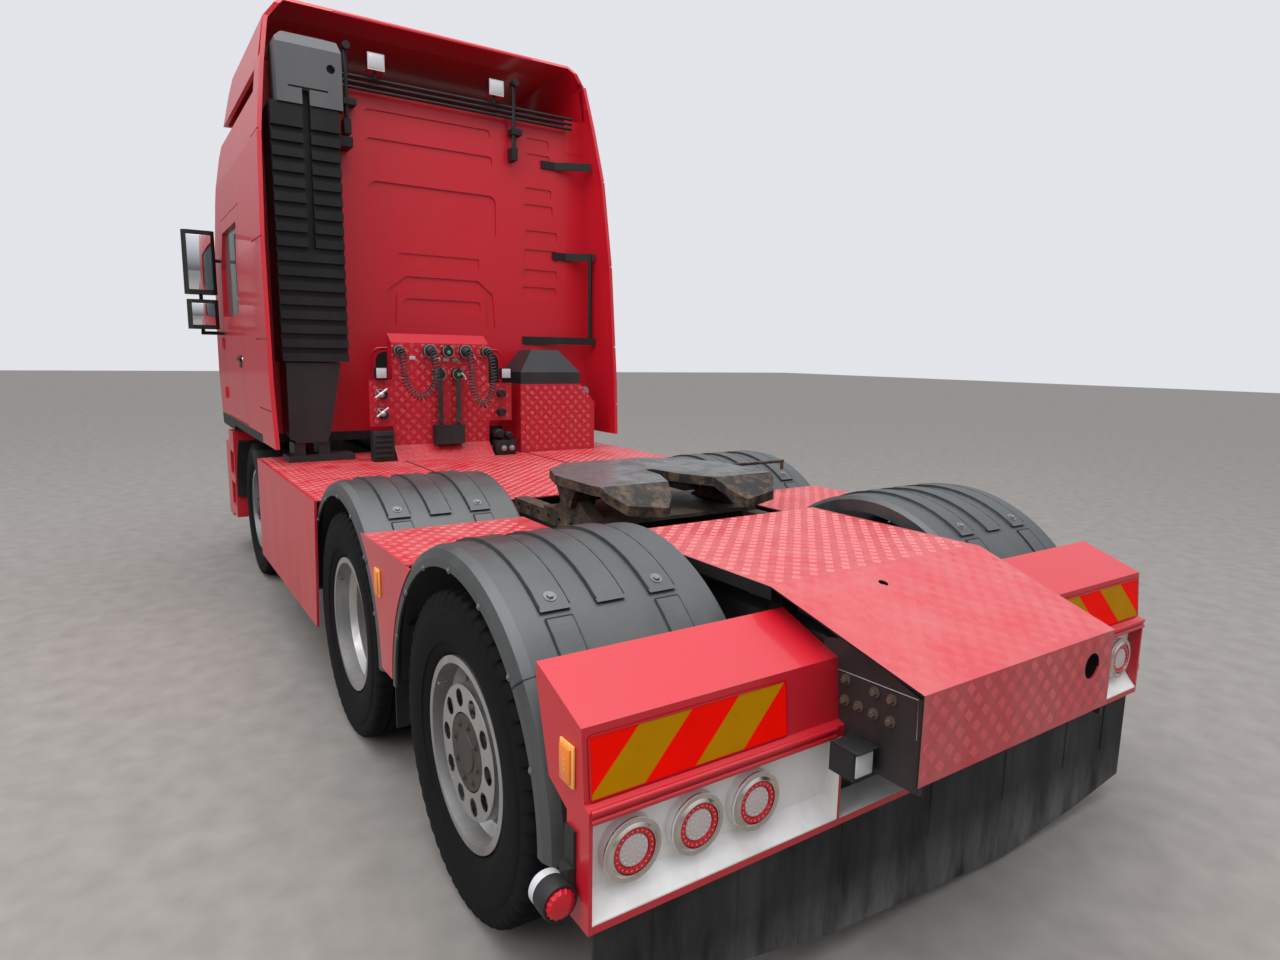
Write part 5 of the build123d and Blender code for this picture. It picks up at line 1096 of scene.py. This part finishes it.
def hanging_loop(start_y, end_y, top_z, low_z):
    """The control points of a cable's route from one socket down and up to the next."""
    across = end_y - start_y
    down = ((cap_x, start_y, top_z), (cap_x - 0.06, start_y, top_z), (hang_x, start_y, top_z - 0.1))
    up = ((hang_x, end_y, top_z - 0.1), (cap_x - 0.06, end_y, top_z), (cap_x, end_y, top_z))
    foot = (
        (hang_x, start_y, low_z + 0.09),
        (hang_x, start_y + across / 3, low_z),
        (hang_x, end_y - across / 3, low_z),
        (hang_x, end_y, low_z + 0.09),
    )
    return down + foot + up


coil_routes = {
    "coil_left": hanging_loop(0.462, 0.253, socket_z, 1.42),
    "coil_right": hanging_loop(0.005, -0.145, socket_z, 1.365),
}


def smooth_line(name, points):
    """An open NURBS curve through a short given route."""
    curve = bpy.data.curves.new(name, "CURVE")
    curve.dimensions = "3D"
    curve.bevel_resolution = 2
    curve.resolution_u = 6
    spline = curve.splines.new("NURBS")
    spline.points.add(len(points) - 1)
    for knot, place in zip(spline.points, points):
        knot.co = (*place, 1)
    spline.order_u = 3
    spline.use_endpoint_u = True
    return curve


def points_on(curve):
    """Points along a curve with no bevel, as the NURBS spline gives them."""
    holder = bpy.data.objects.new("route", curve)
    mesh = bpy.data.meshes.new_from_object(holder)
    places = [vertex.co.copy() for vertex in mesh.vertices]
    bpy.data.objects.remove(holder)
    bpy.data.meshes.remove(mesh)
    return places


def wound(route_points):
    """Helix points about a route, with a short straight lead at each end."""
    line = points_on(smooth_line("route", route_points))
    steps = [0.0]
    for before, after in zip(line, line[1:]):
        steps.append(steps[-1] + (after - before).length)
    total = steps[-1]
    count = int(total / turn_pitch * points_per_turn)
    helix = []
    side = Vector((0, 0, 1))
    at = 0
    for index in range(count + 1):
        reach = total * index / count
        while at < len(line) - 2 and steps[at + 1] < reach:
            at += 1
        share = (reach - steps[at]) / (steps[at + 1] - steps[at])
        centre = line[at].lerp(line[at + 1], share)
        forward = (line[at + 1] - line[at]).normalized()
        side = (side - side.dot(forward) * forward).normalized()
        other = forward.cross(side)
        angle = 2 * math.pi * index / points_per_turn
        grown = helix_radius * min(1.0, reach / lead_length, (total - reach) / lead_length)
        helix.append(centre + grown * (math.cos(angle) * side + math.sin(angle) * other))
    return helix


def line_length(places):
    return sum((after - before).length for before, after in zip(places, places[1:]))


for coil_name, route in coil_routes.items():
    helix = wound(route)
    coil_curve = smooth_line(coil_name + "_line", helix)
    coil_curve.resolution_u = 2
    coil_length = line_length(points_on(coil_curve))
    coil_curve.bevel_depth = cable_radius
    coil = show(coil_name + "_cable", coil_curve, cable_black, "chassis", (coil_name,))
for y in (0.188, 0.062):
    winding = []
    for number in range(int((sleeve_high_z - sleeve_low_z) / sleeve_pitch * sleeve_turn)):
        angle = 2 * math.pi * number / sleeve_turn
        x, y_on = sleeve_x + sleeve_radius * math.cos(angle), y + sleeve_radius * math.sin(angle)
        winding.append(Vector((x, y_on, sleeve_low_z + sleeve_pitch * number / sleeve_turn)))
    tube(batch("hose_sleeves", cable_black, "cable_rubber"), winding, sleeve_bar, 5)

# Cab rear wall
# A black sheet low in the middle of the pressed red wall is painted shade standing for an opening,
# framed by a rolled edge with round corners.
# Red filler strips close the gaps between the wall, the side fairings and the deflector.
wall_x, corner_radius = 1.1635, 0.062
wall_outlines = []
for grown in (0.0, 0.026):
    low_y, high_y, low_z, high_z = -0.437 - grown, 0.483 + grown, 1.3, 1.708 + grown
    outline = [(low_y, low_z)]
    for centre_y, start in ((low_y + corner_radius, 180), (high_y - corner_radius, 90)):
        for turn in range(start, start - 91, -15):
            y = centre_y + corner_radius * math.cos(math.radians(turn))
            outline.append((y, high_z - corner_radius + corner_radius * math.sin(math.radians(turn))))
    wall_outlines.append(outline + [(high_y, low_z)])
opening = [(wall_x + 0.0005, y, z) for y, z in wall_outlines[0]]
# The black sheet on the wall is painted shade.
prism(batch("wall_opening", gap_black, "dark_plastic", "cab"), opening, (-0.0025, 0, 0))
rim_line = [(wall_x - 0.001, y, z) for y, z in wall_outlines[1]]
tube(batch("wall_opening_frame", red_paint, "red_paint", "cab"), rim_line, 0.007)
corner_panels = batch("roof_corner_panels", red_paint, "red_paint", "cab")
deflector_low_z, deflector_low_x, deflector_lean = 3.457, 0.985, 0.1975
for side in (1, -1):
    strip, filler = [], []
    for step in range(13):
        z = 3.24 + 0.02 * step
        outer = touch("side_fairings", (1.155, side * 0.9, min(z, 3.44)), (0, side, 0))
        if outer:
            strip.append([Vector((wall_x - 0.0015, y, z)) for y in (side * 1.0, outer.y)])
        z = 3.45 + 0.023 * step
        outer = touch("roof_deflector", (1.12, side * 0.9, max(z, deflector_low_z + 0.003)), (0, side, 0))
        if outer:
            edge_x = deflector_low_x + (z - deflector_low_z) * deflector_lean
            filler.append([Vector((x, outer.y, z)) for x in (edge_x, 1.1)])
    for places, depth in ((strip, (-0.001, 0, 0)), (filler, (0, side * 0.003, 0))):
        for low, high in zip(places, places[1:]):
            prism(corner_panels, (low[0], low[1], high[1], high[0]), depth)

# Glass, seats and doors
# Tinted panes close the windows, and the seats are covered in cloth. Each door carries two mirror
# glasses, and a pull handle over a shallow cup with a round lock.
pane = shader_material("tinted pane", (0.4, 0.47, 0.46), 0.04, Transmission_Weight=0.85, IOR=1.1)[0]
seat_cloth = dressed("seat cloth", (0.06, 0.06, 0.065), 0.85, (0.1, 0.09, 0.08), 0.3, 700, 0.5, high=3.0)
mirror_face = shader_material("mirror glass", (0.8, 0.82, 0.85), 0.03, Metallic=1.0)[0]
coat(pane, "windscreen", "door_glass_left", "door_glass_right")
coat(seat_cloth, "seats")
mirror_table = ((1.385, 2.375, 0.085, 0.21), (1.38, 1.975, 0.08, 0.085))
handle_parts = (
    ("door_cups_", (1.86, 2.0), (-0.002, 0.002), (1.575, 1.665), 0.001),
    ("door_handles_", (1.85, 2.01), (0.0025, 0.017), (1.625, 1.65), 0.005),
    ("door_handles_", (1.86, 1.875), (0, 0.012), (1.627, 1.648), 0),
    ("door_handles_", (1.985, 2.0), (0, 0.012), (1.627, 1.648), 0),
)
for side, word in ((1, "left"), (-1, "right")):
    body = word + "_door"
    for y, z, half_width, half_height in mirror_table:
        face = touch("mirrors_" + word, (1.5, side * y, z), forward)
        if face:
            glass = batch("mirror_glass_" + word, mirror_face, "pane", body)
            low = (face.x - 0.003, side * y - half_width, z - half_height)
            slab(glass, low, (face.x + 0.002, side * y + half_width, z + half_height), 0.0015)
    skin = touch("door_" + word, (1.93, side * 1.6, 1.62), (0, -side, 0))
    if skin:
        for name, (x0, x1), out, (z0, z1), bevel in handle_parts:
            y0, y1 = sorted(skin.y + side * shift for shift in out)
            slab(batch(name + word, black_trim, "dark_plastic", body), (x0, y0, z0), (x1, y1, z1), bevel)
        lock = batch("door_locks_" + word, chrome, "rim_metal", body)
        turned(lock, ((0, 0.014), (0.004, 0.012), (0.005, 0)), (1.83, skin.y, 1.637), (0, side, 0), 20)

# Cab front and entry
# Zinc grip bars lie on the entry steps, and dark mesh stands behind the lid's slots. The front carries
# twin headlamps a side, four amber markers over the windscreen, and three wipers.
steps_low, steps_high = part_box("entry_steps")
grip_count, grip_inset = 9, 0.06
grips = batch("step_grips", bright_zinc, "rim_metal")
for side in (1, -1):
    for step_z in (0.424, 0.684):
        for number in range(grip_count):
            run = steps_high.x - steps_low.x - 2 * grip_inset
            x = steps_low.x + grip_inset + number * run / (grip_count - 1)
            y0, y1 = sorted((side * 1.03, side * 1.225))
            slab(grips, (x - 0.006, y0, step_z - 0.006), (x + 0.006, y1, step_z + 0.001), 0.0008)
mesh_plates = batch("grille_mesh", gap_black, "dark_plastic", "grille")
slot_count, slot_low_z, slot_pitch = 6, 1.24, 0.07
mesh_depth, mesh_foot, mesh_top = 0.018, 0.006, 0.058
for row in range(slot_count):
    ray_z = slot_low_z + slot_pitch * row - 0.012
    hits = [touch("grille_lid", (4.2, -0.84 + 0.12 * step, ray_z), backward) for step in range(15)]
    for start, end in zip(hits, hits[1:]):
        if start and end:
            corners = ((start, mesh_foot), (end, mesh_foot), (end, mesh_top), (start, mesh_top))
            outline = [hit + Vector((-mesh_depth, 0, rise)) for hit, rise in corners]
            prism(mesh_plates, outline, (-0.002, 0, 0))
lamp_glass = shader_material("headlamp glass", (0.24, 0.25, 0.26), 0.06, Coat_Weight=0.8)[0]
coat(lamp_glass, "headlamps")
bowl_radius, bowl_z = 0.05, 0.75
bowl_ring = ((-0.002, 0.063), (0.003, 0.061), (0.004, bowl_radius), (-0.002, bowl_radius))
bowl_lens = ((-0.002, bowl_radius), (0.002, bowl_radius * 0.96), (0.005, bowl_radius * 0.5), (0.006, 0))
marker_dome = ((-0.004, 0.03), (0.004, 0.029), (0.009, 0.02), (0.01, 0))
for side in (1, -1):
    for y in (0.866, 0.994):
        ray_start = Vector((4.2, side * y, bowl_z))
        hit, front = ray_tree("headlamps").ray_cast(ray_start, Vector(backward))[:2]
        if hit:
            turned(batch("headlamp_rings", chrome, "lamp_body"), bowl_ring, hit, front, 36, closed=True)
            turned(batch("headlamp_lenses", white_lens, "lamp_lens"), bowl_lens, hit, front, 32)
    for y in (0.18, 0.62):
        hit = touch("roof_deflector", (4.4, side * y, 3.7), backward)
        if hit:
            markers = batch("roof_markers", amber_lens, "lamp_lens", "cab")
            turned(markers, marker_dome, hit, (1, 0, 0.5), 24)
blades = batch("wipers", black_trim, "dark_plastic", "cab")
wiper_foot_z = 1.93
for foot_y, tip_y, tip_z in ((0.85, 0.15, 2.25), (0.1, -0.6, 2.25), (-0.65, -0.98, 2.35)):
    line = []
    for share in (0, 0.25, 0.5, 0.75, 1):
        start = (4.2, foot_y + (tip_y - foot_y) * share, wiper_foot_z + (tip_z - wiper_foot_z) * share)
        hit = touch("windscreen", start, backward) or touch("cab_front", start, backward)
        if hit:
            line.append(hit + Vector((0.007, 0, 0)))
    if len(line) > 1:
        tube(blades, line, 0.0055, 6)
for name, (form, material, body, slot) in batches.items():
    show(name, form, material, body)

# Studio
# The tractor unit stands on grey mottled ground. Soft light comes from a pale sky, from a wide lamp
# overhead and from a weaker one at the left. The camera sees the sky in one even tone.
bpy.context.scene.view_settings.view_transform = "Standard"
floor_form = bmesh.new()
bmesh.ops.create_grid(floor_form, x_segments=1, y_segments=1, size=60)
floor = placed("floor", mesh_from("floor", floor_form))
asphalt, tree, shader = shader_material("grey ground", (0.3, 0.28, 0.26), 0.85)
stones = node_in(tree, "ShaderNodeTexNoise", {"Scale": 900.0, "Detail": 4}).outputs["Fac"]
tree.links.new(two_tone(tree, stones, (0.17, 0.155, 0.142), (0.28, 0.26, 0.238)), shader.inputs["Base Color"])
floor.data.materials.append(asphalt)

world = bpy.data.worlds.new("sky")
bpy.context.scene.world = world
world.use_nodes = True
tree = world.node_tree
sky = tree.nodes["Background"]
sky.inputs["Color"].default_value = (0.93, 0.95, 1.0, 1)
rays = tree.nodes.new("ShaderNodeLightPath").outputs
upward = split(tree, node_in(tree, "ShaderNodeTexCoord").outputs["Generated"])["Z"]
glow = ranged(tree, upward, From_Min=0.0, From_Max=0.8, To_Min=0.16, To_Max=1.45)
seen = reckon(tree, "MAXIMUM", rays["Is Camera Ray"], rays["Is Transmission Ray"])
strength = node_in(tree, "ShaderNodeMix", {0: seen, 2: glow, 3: 0.82}).outputs[0]
tree.links.new(strength, sky.inputs["Strength"])


def soft_lamp(name, place, aim, size, watts):
    """A square area lamp turned towards a point."""
    data = bpy.data.lights.new(name, "AREA")
    data.size = size
    data.energy = watts
    lamp = placed(name, data)
    lamp.location = place
    lamp.rotation_euler = (Vector(aim) - Vector(place)).to_track_quat("-Z", "Y").to_euler()


soft_lamp("overhead lamp", (-2.0, 1.5, 9.5), (-0.5, 0, 0.5), 9.0, 700)
soft_lamp("side lamp", (-3.5, 9.5, 6.5), (-0.5, 0, 1.4), 5.0, 320)
